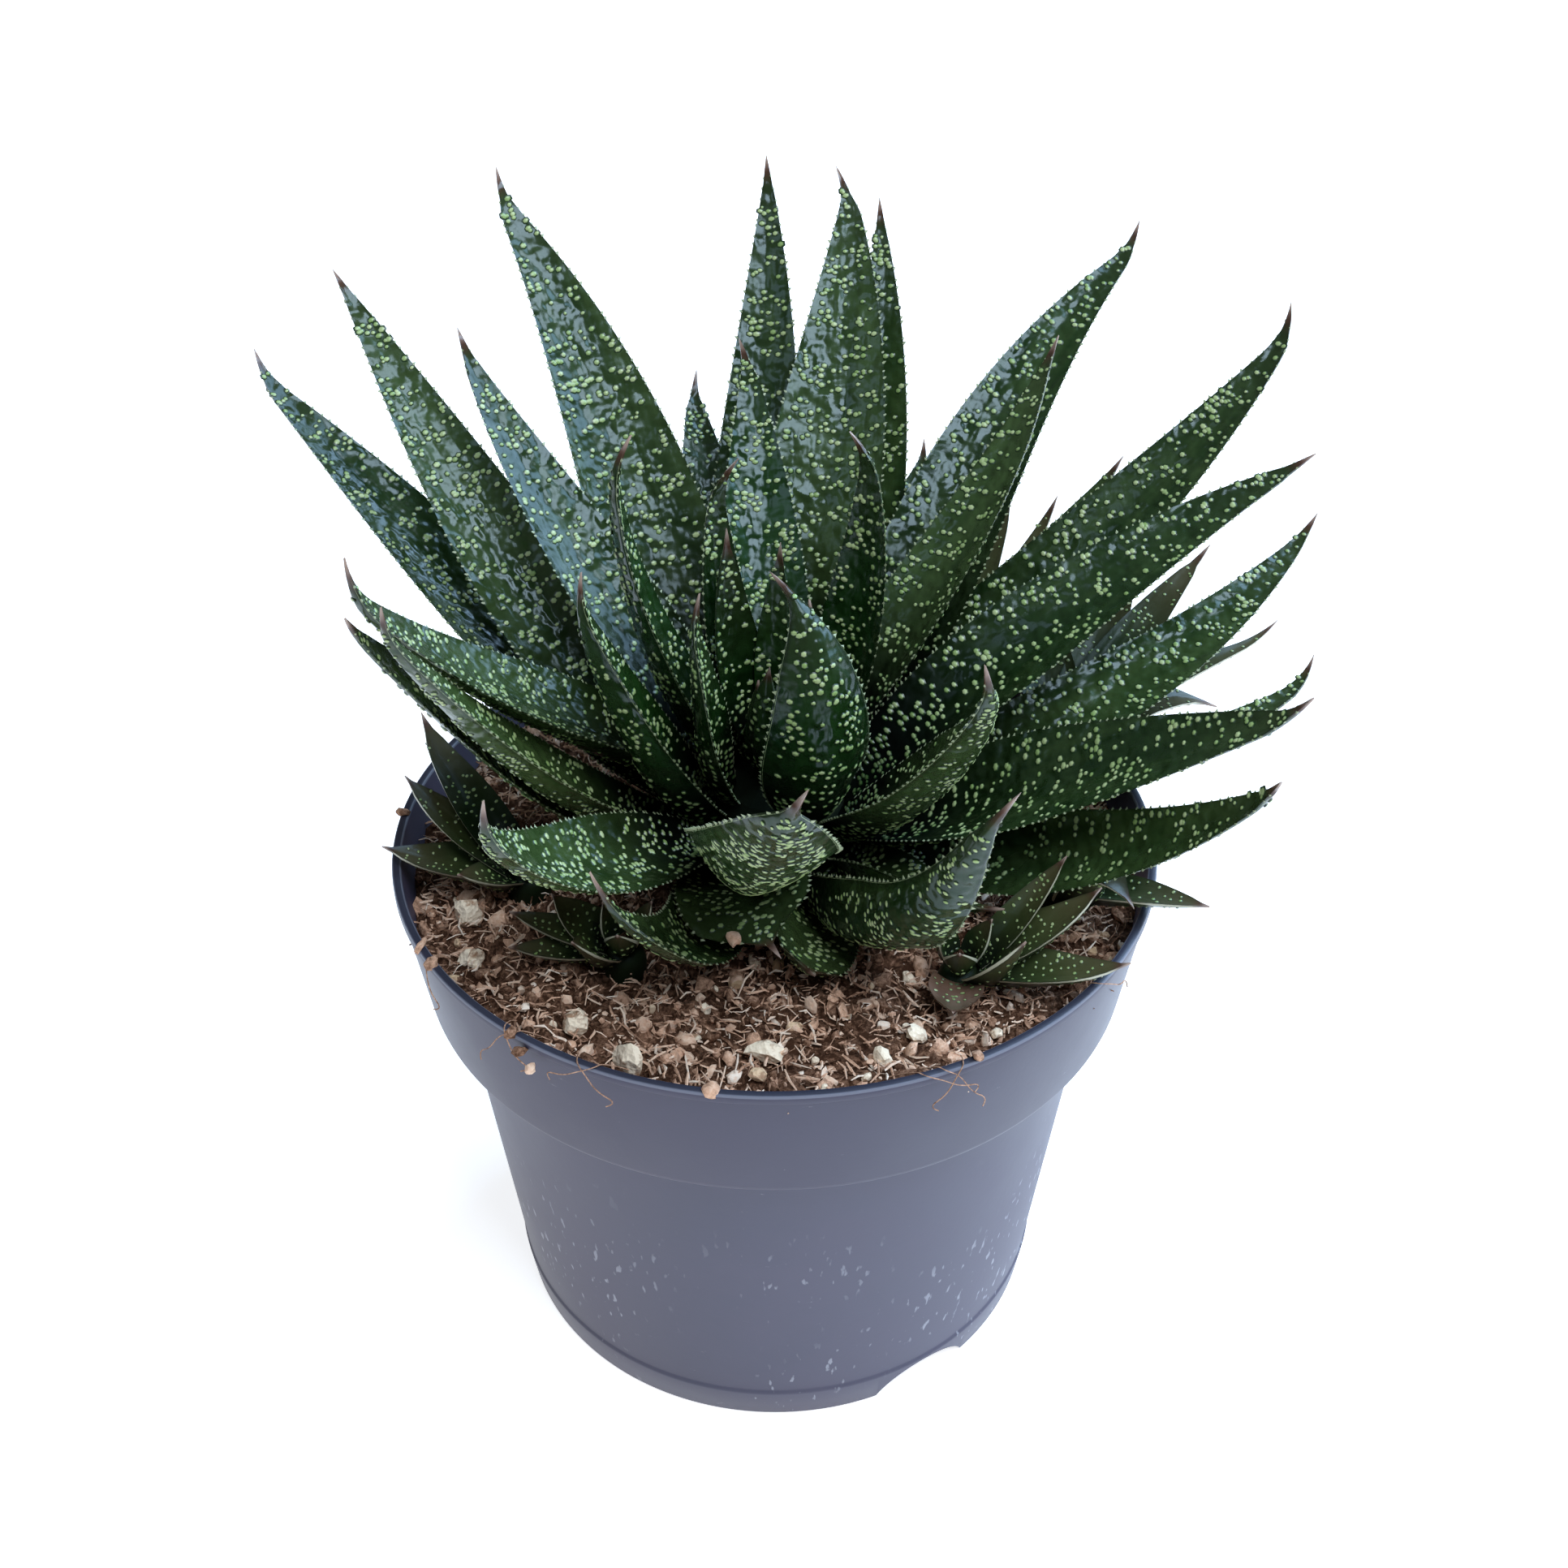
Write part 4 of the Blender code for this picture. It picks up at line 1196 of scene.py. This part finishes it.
@dataclass
class Pot:
    """The moulded nursery pot."""
    height: float = 88.6
    rim_radius: float = 60.0
    lip_height: float = 1.6
    collar_foot_z: float = 66.7
    collar_foot_radius: float = 56.8
    body_top_radius: float = 52.3
    base_radius: float = 45.4
    foot_ring_z: float = 6.4
    wall: float = 1.4
    recess_z: float = 6.0
    middle_radius: float = 13.0
    notch_ways: tuple[float, ...] = (-57, 63, 183)
    notch_radius: float = 10.0
    notch_depth: float = 8.0
    notch_drop: float = 4.2
    drain_holes: int = 6
    drain_radius: float = 3.5
    drain_depth: float = 4.0
    drain_ring_radius: float = 30.0
    steps: int = 180

    def inside(self, z: float) -> float:
        """Work out the inner radius.

        Args:
            z: The height.

        Returns:
            The radius there.
        """
        heights = (self.recess_z + self.wall, self.collar_foot_z - 1.2, self.collar_foot_z + 1.5,
                   self.height)
        radii = (self.base_radius - self.wall + 0.3, self.body_top_radius - self.wall,
                 self.collar_foot_radius - self.wall, self.rim_radius - self.wall)
        return float(np.interp(z, heights, radii))

    def profile(self) -> list[tuple[float, float]]:
        """Draw the outline that is turned.

        Returns:
            Pairs of radius and height, from the inner floor over the rim to below.
        """
        floor = self.recess_z + self.wall
        top, lip = self.height, self.height - self.lip_height
        foot, ring = self.collar_foot_z, self.foot_ring_z
        rim, base = self.rim_radius, self.base_radius
        collar, body, middle = self.collar_foot_radius, self.body_top_radius, self.middle_radius
        return [
            (0, self.wall), (middle - 1.6, self.wall), (middle - 0.4, floor),
            (self.inside(floor) - 1.0, floor), (self.inside(floor) + 0.1, floor + 1.0),
            (self.inside(foot - 1.2), foot - 1.2), (self.inside(foot + 1.5), foot + 1.5),
            (rim - self.wall, top - 0.3), (rim - self.wall + 0.3, top), (rim - 0.4, top),
            (rim - 0.1, top - 0.12), (rim, top - 0.45), (rim, lip + 0.2), (rim - 0.15, lip),
            (rim - 0.4, lip - 0.12), (rim - 0.45, lip - 0.5),
            (collar + 0.15, foot + 1.0), (collar, foot + 0.5), (collar - 0.2, foot + 0.12),
            (collar - 0.6, foot), (body + 0.6, foot - 0.4), (body + 0.1, foot - 0.8),
            (body - 0.05, foot - 1.6), (base + 0.75, ring + 0.9), (base + 0.75, ring + 0.45),
            (base + 0.95, ring + 0.2), (base + 0.9, ring - 0.4), (base + 0.15, 0.5),
            (base - 0.1, 0.1), (base - 0.4, 0), (base - self.wall, 0),
            (base - self.wall, self.recess_z), (middle + 1.0, self.recess_z), (middle, 0), (0, 0),
        ]

    def drill(self, pot: Object, radius: float, depth: float, centre: Array,
              axis: Array) -> None:
        """Cut a round hole in the pot.

        Args:
            pot: The pot.
            radius: The hole's radius.
            depth: The hole's length.
            centre: Its middle.
            axis: Its direction.
        """
        turn = Vector((0, 0, 1)).rotation_difference(Vector(axis)).to_euler()
        drill = primitive("cylinder", vertices=64, radius=radius * MM, depth=depth * MM,
                          location=Vector(centre) * MM, rotation=turn)
        bpy.context.view_layer.objects.active = pot
        hole = pot.modifiers.new("Hole", "BOOLEAN")
        hole.operation = "DIFFERENCE"
        hole.object = drill
        bpy.ops.object.modifier_apply(modifier="Hole")
        bpy.data.objects.remove(drill, do_unlink=True)

    def build(self) -> None:
        """Turn the pot, cut its notches and drain holes and dress it."""
        mesh = bpy.data.meshes.new("pot_fine")
        points = [(radius * MM, 0.0, z * MM) for radius, z in self.profile()]
        mesh.from_pydata(points, [(i, i + 1) for i in range(len(points) - 1)], [])
        pot = new_object("pot_fine", mesh)
        select(pot)
        turn = pot.modifiers.new("Turn", "SCREW")
        turn.steps = turn.render_steps = self.steps
        turn.use_merge_vertices = True
        turn.merge_threshold = 0.00001
        bpy.ops.object.modifier_apply(modifier="Turn")
        for way in self.notch_ways:
            out = direction(way, 0)
            self.drill(pot, self.notch_radius, self.notch_depth,
                       out * (self.base_radius - 1) + (0, 0, -self.notch_drop), out)
        for number in range(self.drain_holes):
            out = direction(self.notch_ways[0] + number * 360 / self.drain_holes, 0)
            self.drill(pot, self.drain_radius, self.drain_depth,
                       out * self.drain_ring_radius + (0, 0, self.recess_z + self.wall / 2),
                       np.array([0.0, 0.0, 1.0]))
        pot.data.materials.append(Moulded().material())
        hand_over(join([pot], "pot_fine"), "pot_plastic", "pot")


@dataclass
class Soil:
    """Potting mix in the pot: a rough plug, crumbs and fibres on it, and pale grit."""
    pot: Pot
    rng: Generator
    level: float = 84.0
    ground: float = 83.2        # height of the level ground at the stems
    crown_ground: float = 15.0  # how far it reaches from each
    offset_ground: float = 6.0
    clear: float = 0.3          # gap to the wall
    crumbs: int = 2900          # how many of each
    lumps: int = 190
    fibres: int = 6500
    grit: int = 130
    bare: float = 22.0          # no crumb lies nearer to the middle
    plug_rings: tuple[int, int] = (84, 74)      # in all, and those on top
    plug_columns: int = 130
    thread_radius: float = 0.09
    spilt: tuple[Triple, ...] = (               # crumbs on the rim: way, radius, height
        (-125, 60.9, 87.2), (-123, 61.3, 85.4), (-127, 60.0, 88.9), (-146, 59.6, 88.8),
        (-150, 59.4, 88.9), (177, 59.6, 88.8), (-98, 59.2, 88.6), (-62, 59.3, 88.7),
        (-99, 35.6, 94.9),                      # this one lies on a leaf
    )
    threads: tuple[Triple, ...] = (             # over the rim: way, sweep, drop
        (-71, 9, 3.2), (-68, 7, 6.5), (-64, -6, 4.5), (-117, 7, 3.8), (-113, -8, 2.4),
        (-126, -7, 6.0), (-129, 6, 3.5), (-147, 6, 4.2), (-40, 7, 2.6),
    )
    stones: tuple[Triple, ...] = (              # the large ones: x, y, size
        (-47, -16, 6.0), (-45, -26, 4.0), (-28, -42, 5.5), (-20, -50, 6.5), (-1, -48, 6.0),
        (15, -49, 4.5), (20, -44, 5.0), (-45, 25, 5.0), (10, 49, 4.5),
    )

    def mean_height(self, x: float, y: float) -> float:
        """Work out the soil's height as in the frame: a low mound, level at the stems.

        Args:
            x: Place to the right.
            y: Place to the back.

        Returns:
            The height without its fine relief.
        """
        sides = 3.0 * max(0.0, (abs(x) - 30) / 28)**1.5
        front = 1.2 * max(0.0, -y / 57)**2
        lumps = relief(x, y, 0.12, 3.0) * 0.8 + relief(x, y, 0.33, 8.0) * 0.5
        height = self.level - sides + front + lumps
        stems = [(0, 0, self.crown_ground)] + [(o.x, o.y, self.offset_ground) for o in OFFSETS]
        for stem_x, stem_y, ground in stems:
            share = min(1.0, max(0.0, (math.hypot(x - stem_x, y - stem_y) - ground) / 8))
            height = min(height, self.ground) * (1 - share) + height * share
        return height

    def height(self, x: float, y: float) -> float:
        """Work out the soil's height with its fine relief.

        Args:
            x: Place to the right.
            y: Place to the back.

        Returns:
            The height.
        """
        rough = (2.6 * abs(relief(x, y, 0.2, 1.0)) + relief(x, y, 0.45, 1.0) * 1.2
                 + relief(x, y, 1.2, 5.0) * 0.7)
        return self.mean_height(x, y) + rough - 0.9

    def build_plug(self) -> Object:
        """Shape a sphere's rings into the plug that fills the pot.

        Returns:
            The plug.
        """
        rings, top_rings = self.plug_rings
        plug = primitive("uv_sphere", segments=self.plug_columns, ring_count=rings, radius=1)
        foot = self.pot.recess_z + self.pot.wall + self.clear
        step = self.pot.collar_foot_z
        sides = (76.0, step + 1.5, step - 1.2, 45.0, 25.0, foot)    # heights of rings on the wall
        tone = []
        for vert in plug.data.vertices:
            ring = round(math.acos(max(-1.0, min(1.0, vert.co.z))) / math.pi * rings)
            way = math.atan2(vert.co.y, vert.co.x)
            radius = (self.pot.inside(self.level) - self.clear) * min(1.0, ring / top_rings)
            x, y = radius * math.cos(way), radius * math.sin(way)
            z = self.height(x, y)
            below = ring - top_rings
            if below > 0:
                z = sides[min(below, len(sides)) - 1]
                radius = self.pot.inside(z) - self.clear
                radius *= 1 - max(0, below - len(sides)) / (rings - top_rings - len(sides))
                x, y = radius * math.cos(way), radius * math.sin(way)
            vert.co = (x * MM, y * MM, z * MM)
            # partly painted shade: the plug is kept dark, for the darker peat below the crumbs and
            # for the shade in the gaps between them
            tone.append(0.02 + 0.2 * noise.noise(Vector((x, y, z)) * 0.4))
        put_mark(plug, "tone", tone)
        return plug

    def scatter(self, count: int, hole: float) -> Array:
        """Strew points evenly over the soil.

        Args:
            count: How many.
            hole: How far they stay from the middle.

        Returns:
            The points, as rows.
        """
        edge = self.pot.inside(self.level) - 1.0
        radius = np.sqrt(self.rng.uniform(hole**2, edge**2, count))
        way = self.rng.uniform(0, 2 * math.pi, count)
        x, y = radius * np.cos(way), radius * np.sin(way)
        z = np.array([self.height(*place) for place in zip(x, y)])
        return np.stack([x, y, z], axis=1)

    def add_grains(self, copies: Copies, shape: Shape, places: Array, sizes: Array, rough: float,
                   tones: tuple[float, float] | None = None, palest: float = 1.0) -> None:
        """Add uneven grains.

        Args:
            copies: What they are added to.
            shape: The points and faces that each one is made from.
            places: Where each one lies.
            sizes: Its diameter.
            rough: How uneven it is.
            tones: How their shades are spread, evenly if not given.
            palest: The highest shade.
        """
        count, rng = len(places), self.rng
        bumps = 1 + rng.normal(0, rough, (count, len(shape[0]), 1))
        squash = rng.uniform(0.55, 1.25, (count, 1, 3)) * (1.1, 0.95, 0.8)
        turns = np.linalg.qr(rng.normal(size=(count, 3, 3)))[0]
        points = (shape[0] * bumps * squash * sizes[:, None, None] / 2) @ turns + places[:, None]
        tone = rng.beta(*tones, (count, 1)) if tones else palest * rng.random((count, 1))
        copies.add(points, shape[1], tone=tone)

    def strands(self, places: Array) -> Shape:
        """Shape short curly fibres that lie on the soil.

        Args:
            places: Where each begins.

        Returns:
            Points as fibres x points x 3, and the faces of one fibre.
        """
        count, rows, rng = len(places), 3, self.rng
        length = rng.uniform(0.9, 3.6, count)
        way = rng.uniform(0, 2 * math.pi, count)
        bend = rng.uniform(-2.8, 2.8, count)
        tilt = rng.normal(0.1, 0.5, count)
        thick = rng.uniform(0.08, 0.26, count)
        line = []
        here = places + (0, 0, 1) * rng.uniform(-0.4, 1.2, (count, 1))
        for row in range(rows):
            turn = way + bend * row / (rows - 1)
            step = np.stack([np.cos(turn), np.sin(turn), np.sin(tilt) * (1.2 - row * 0.8)], axis=1)
            line.append((here, np.stack([-np.sin(turn), np.cos(turn), 0 * turn], axis=1)))
            here = here + step * (length / (rows - 1))[:, None]
        points = []
        for row, (centre, side) in enumerate(line):
            size = (thick * (0.6 if row in (0, rows - 1) else 1.0))[:, None]
            points += [centre + side * size, centre - side * size,
                       centre + np.array([0, 0, 1.0]) * size * 1.2]
        faces = [(0, 1, 2), (3 * rows - 1, 3 * rows - 2, 3 * rows - 3)]
        for row in range(rows - 1):
            for k in range(3):
                a, b = 3 * row + k, 3 * row + (k + 1) % 3
                faces.append((b, a, a + 3, b + 3))
        return np.stack(points, axis=1), faces

    def thread(self, way: float, sweep: float, drop: float, peat: Material
               ) -> Object:
        """Lay one long root thread over the rim.

        Args:
            way: Where it crosses the rim.
            sweep: How far it runs along the rim, in degrees.
            drop: How far it hangs down outside.
            peat: Its finish.

        Returns:
            The thread.
        """
        curve = bpy.data.curves.new("thread", "CURVE")
        curve.dimensions, curve.resolution_u = "3D", 4
        curve.bevel_depth, curve.bevel_resolution = self.thread_radius * MM, 0
        line = curve.splines.new("NURBS")
        steps = (               # share of the sweep, radius and height, from the soil outwards
            (-0.3, 55.5, 85.6), (0.0, 58.4, 88.9), (0.1, 60.1, 89.0), (0.35, 61.0, 88.2),
            (0.6, 61.4, 88.4 - drop * 0.6), (1.0, 61.0, 88.4 - drop), (0.8, 61.9, 88.2 - drop),
        )
        line.points.add(len(steps) - 1)
        for point, (share, radius, z) in zip(line.points, steps):
            point.co = (*((direction(way + sweep * share, 0) * radius + (0, 0, z)) * MM), 1)
        line.use_endpoint_u = True
        line.order_u = 3
        select(new_object("thread", curve))
        bpy.ops.object.convert(target="MESH")
        thread = bpy.context.object
        thread.data.materials.append(peat)
        put_mark(thread, "tone", 0.3)
        return thread

    def build(self) -> None:
        """Build the soil and its grit."""
        rng, peat = self.rng, Peat().material()
        crumb, lump = template("crumb"), template("lump")
        loose = Copies()
        places = self.scatter(self.crumbs, self.bare)
        sizes = rng.gamma(2.4, 0.45, self.crumbs).clip(0.4, 3.0)
        self.add_grains(loose, crumb, places, sizes, 0.22, (1.3, 1.9))
        places = self.scatter(self.lumps, self.bare + 2)
        sizes = rng.uniform(1.6, 3.4, self.lumps)
        self.add_grains(loose, lump, places, sizes, 0.12, (2, 4))
        strands, faces = self.strands(self.scatter(self.fibres, self.bare))
        loose.add(strands, faces, tone=rng.beta(1.6, 1.6, (self.fibres, 1)))
        rim = np.array([direction(way, 0) * radius + (0, 0, z) for way, radius, z in self.spilt])
        self.add_grains(loose, lump, rim, np.full(len(rim), 2.3), 0.14, (2, 4))
        pieces = [loose.to_object("loose", peat)]
        pieces += [self.thread(*one, peat) for one in self.threads]
        plug = self.build_plug()
        plug.data.materials.append(peat)
        hand_over(join([plug, *pieces], "soil_fine"), "soil", "soil")
        self.build_grit(lump)

    def build_grit(self, lump: Shape) -> None:
        """Build the pale grit, the large stones where the frame has them.

        Args:
            lump: A grain's points and faces.
        """
        copies = Copies()
        stones = [((x, y, self.mean_height(x, y) + size * 0.1), size * 0.95)
                  for x, y, size in self.stones]
        places, sizes = (np.array(values) for values in zip(*stones))
        self.add_grains(copies, lump, places, sizes, 0.13, palest=0.6)
        places = self.scatter(self.grit, self.bare) + (0, 0, 0.3)
        self.add_grains(copies, lump, places, self.rng.uniform(0.8, 2.8, self.grit), 0.09)
        grit = copies.to_object("grit", Pumice().material())
        hand_over(join([grit], "grit", 24.0), "soil")


@dataclass(frozen=True)
class Light:
    """A soft square light that faces the plant, with lengths in metres and power in watts."""
    name: str
    way: float
    rise: float
    size: float
    power: float
    colour: Triple
    distance: float = 1.1
    aim: float = 0.1            # height of what it faces

    def add(self) -> None:
        """Add it to the scene."""
        out = direction(self.way, self.rise)
        bpy.ops.object.light_add(type="AREA", location=out * self.distance + (0, 0, self.aim))
        lamp = bpy.context.object
        lamp.name = self.name
        lamp.rotation_euler = Vector(out).to_track_quat("Z", "Y").to_euler()
        lamp.data.size, lamp.data.energy, lamp.data.color = self.size, self.power, self.colour


@dataclass
class Studio:
    """The camera at the photograph's angle, a pale floor and soft light."""
    image: int = 1932           # the photograph's width and height in pixels
    focal: float = 2283.0       # in those pixels
    sensor: float = 36.0
    distance: float = 289.6
    rise: float = 35.7
    aim: Triple = (1.47, 0.0, 96.6)
    near: float = 0.01          # nothing nearer is seen, in metres
    floor_size: float = 8.0     # in metres
    grey: Triple = (0.93, 0.93, 0.93)
    glow: float = 0.75
    sky: Triple = (0.93, 0.95, 1.0)
    sky_strength: float = 0.13
    lights: tuple[Light, ...] = (
        Light("window", 32, 38, 1.0, 21.0, (0.48, 0.71, 1.0)),
        Light("lamp", -50, 62, 0.6, 11.0, (0.76, 0.87, 1.0)),
        Light("side", -150, 45, 0.5, 1.2, (0.66, 0.84, 1.0)),
    )

    def build(self) -> None:
        """Set the camera, the floor, the lights and the world."""
        place = (np.array(self.aim) + direction(-90, self.rise) * self.distance) * MM
        bpy.ops.object.camera_add(location=place, rotation=(math.radians(90 - self.rise), 0, 0))
        camera = bpy.context.object
        camera.data.sensor_width = self.sensor
        camera.data.lens = self.focal / self.image * self.sensor
        camera.data.clip_start = self.near
        scene = bpy.context.scene
        scene.camera = camera
        self.floor()
        for light in self.lights:
            light.add()
        scene.world = bpy.data.worlds.new("studio")
        scene.world.use_nodes = True
        sky = scene.world.node_tree.nodes["Background"].inputs
        sky[0].default_value, sky[1].default_value = (*self.sky, 1), self.sky_strength
        scene.view_settings.view_transform = "Standard"

    def floor(self) -> None:
        """Add the plain pale floor."""
        floor = primitive("plane", size=self.floor_size)
        floor.name = "floor"
        shader = Shader("floor", Base_Color=(*self.grey, 1), Roughness=0.9,
                        Emission_Color=(1, 1, 1, 1), Emission_Strength=self.glow,
                        Specular_IOR_Level=0.1)
        floor.data.materials.append(shader.material)


def main() -> None:
    """Build the plant, its pot and the studio."""
    logging.basicConfig(level=logging.INFO, format="%(message)s")
    pot = Pot()
    pot.build()
    Soil(pot, np.random.default_rng(SOIL_SEED)).build()
    maker = LeafMaker(np.random.default_rng(LEAF_SEED))
    Rosette(maker).build()
    Offsets(maker).build()
    Studio().build()


if __name__ == "__main__":
    main()
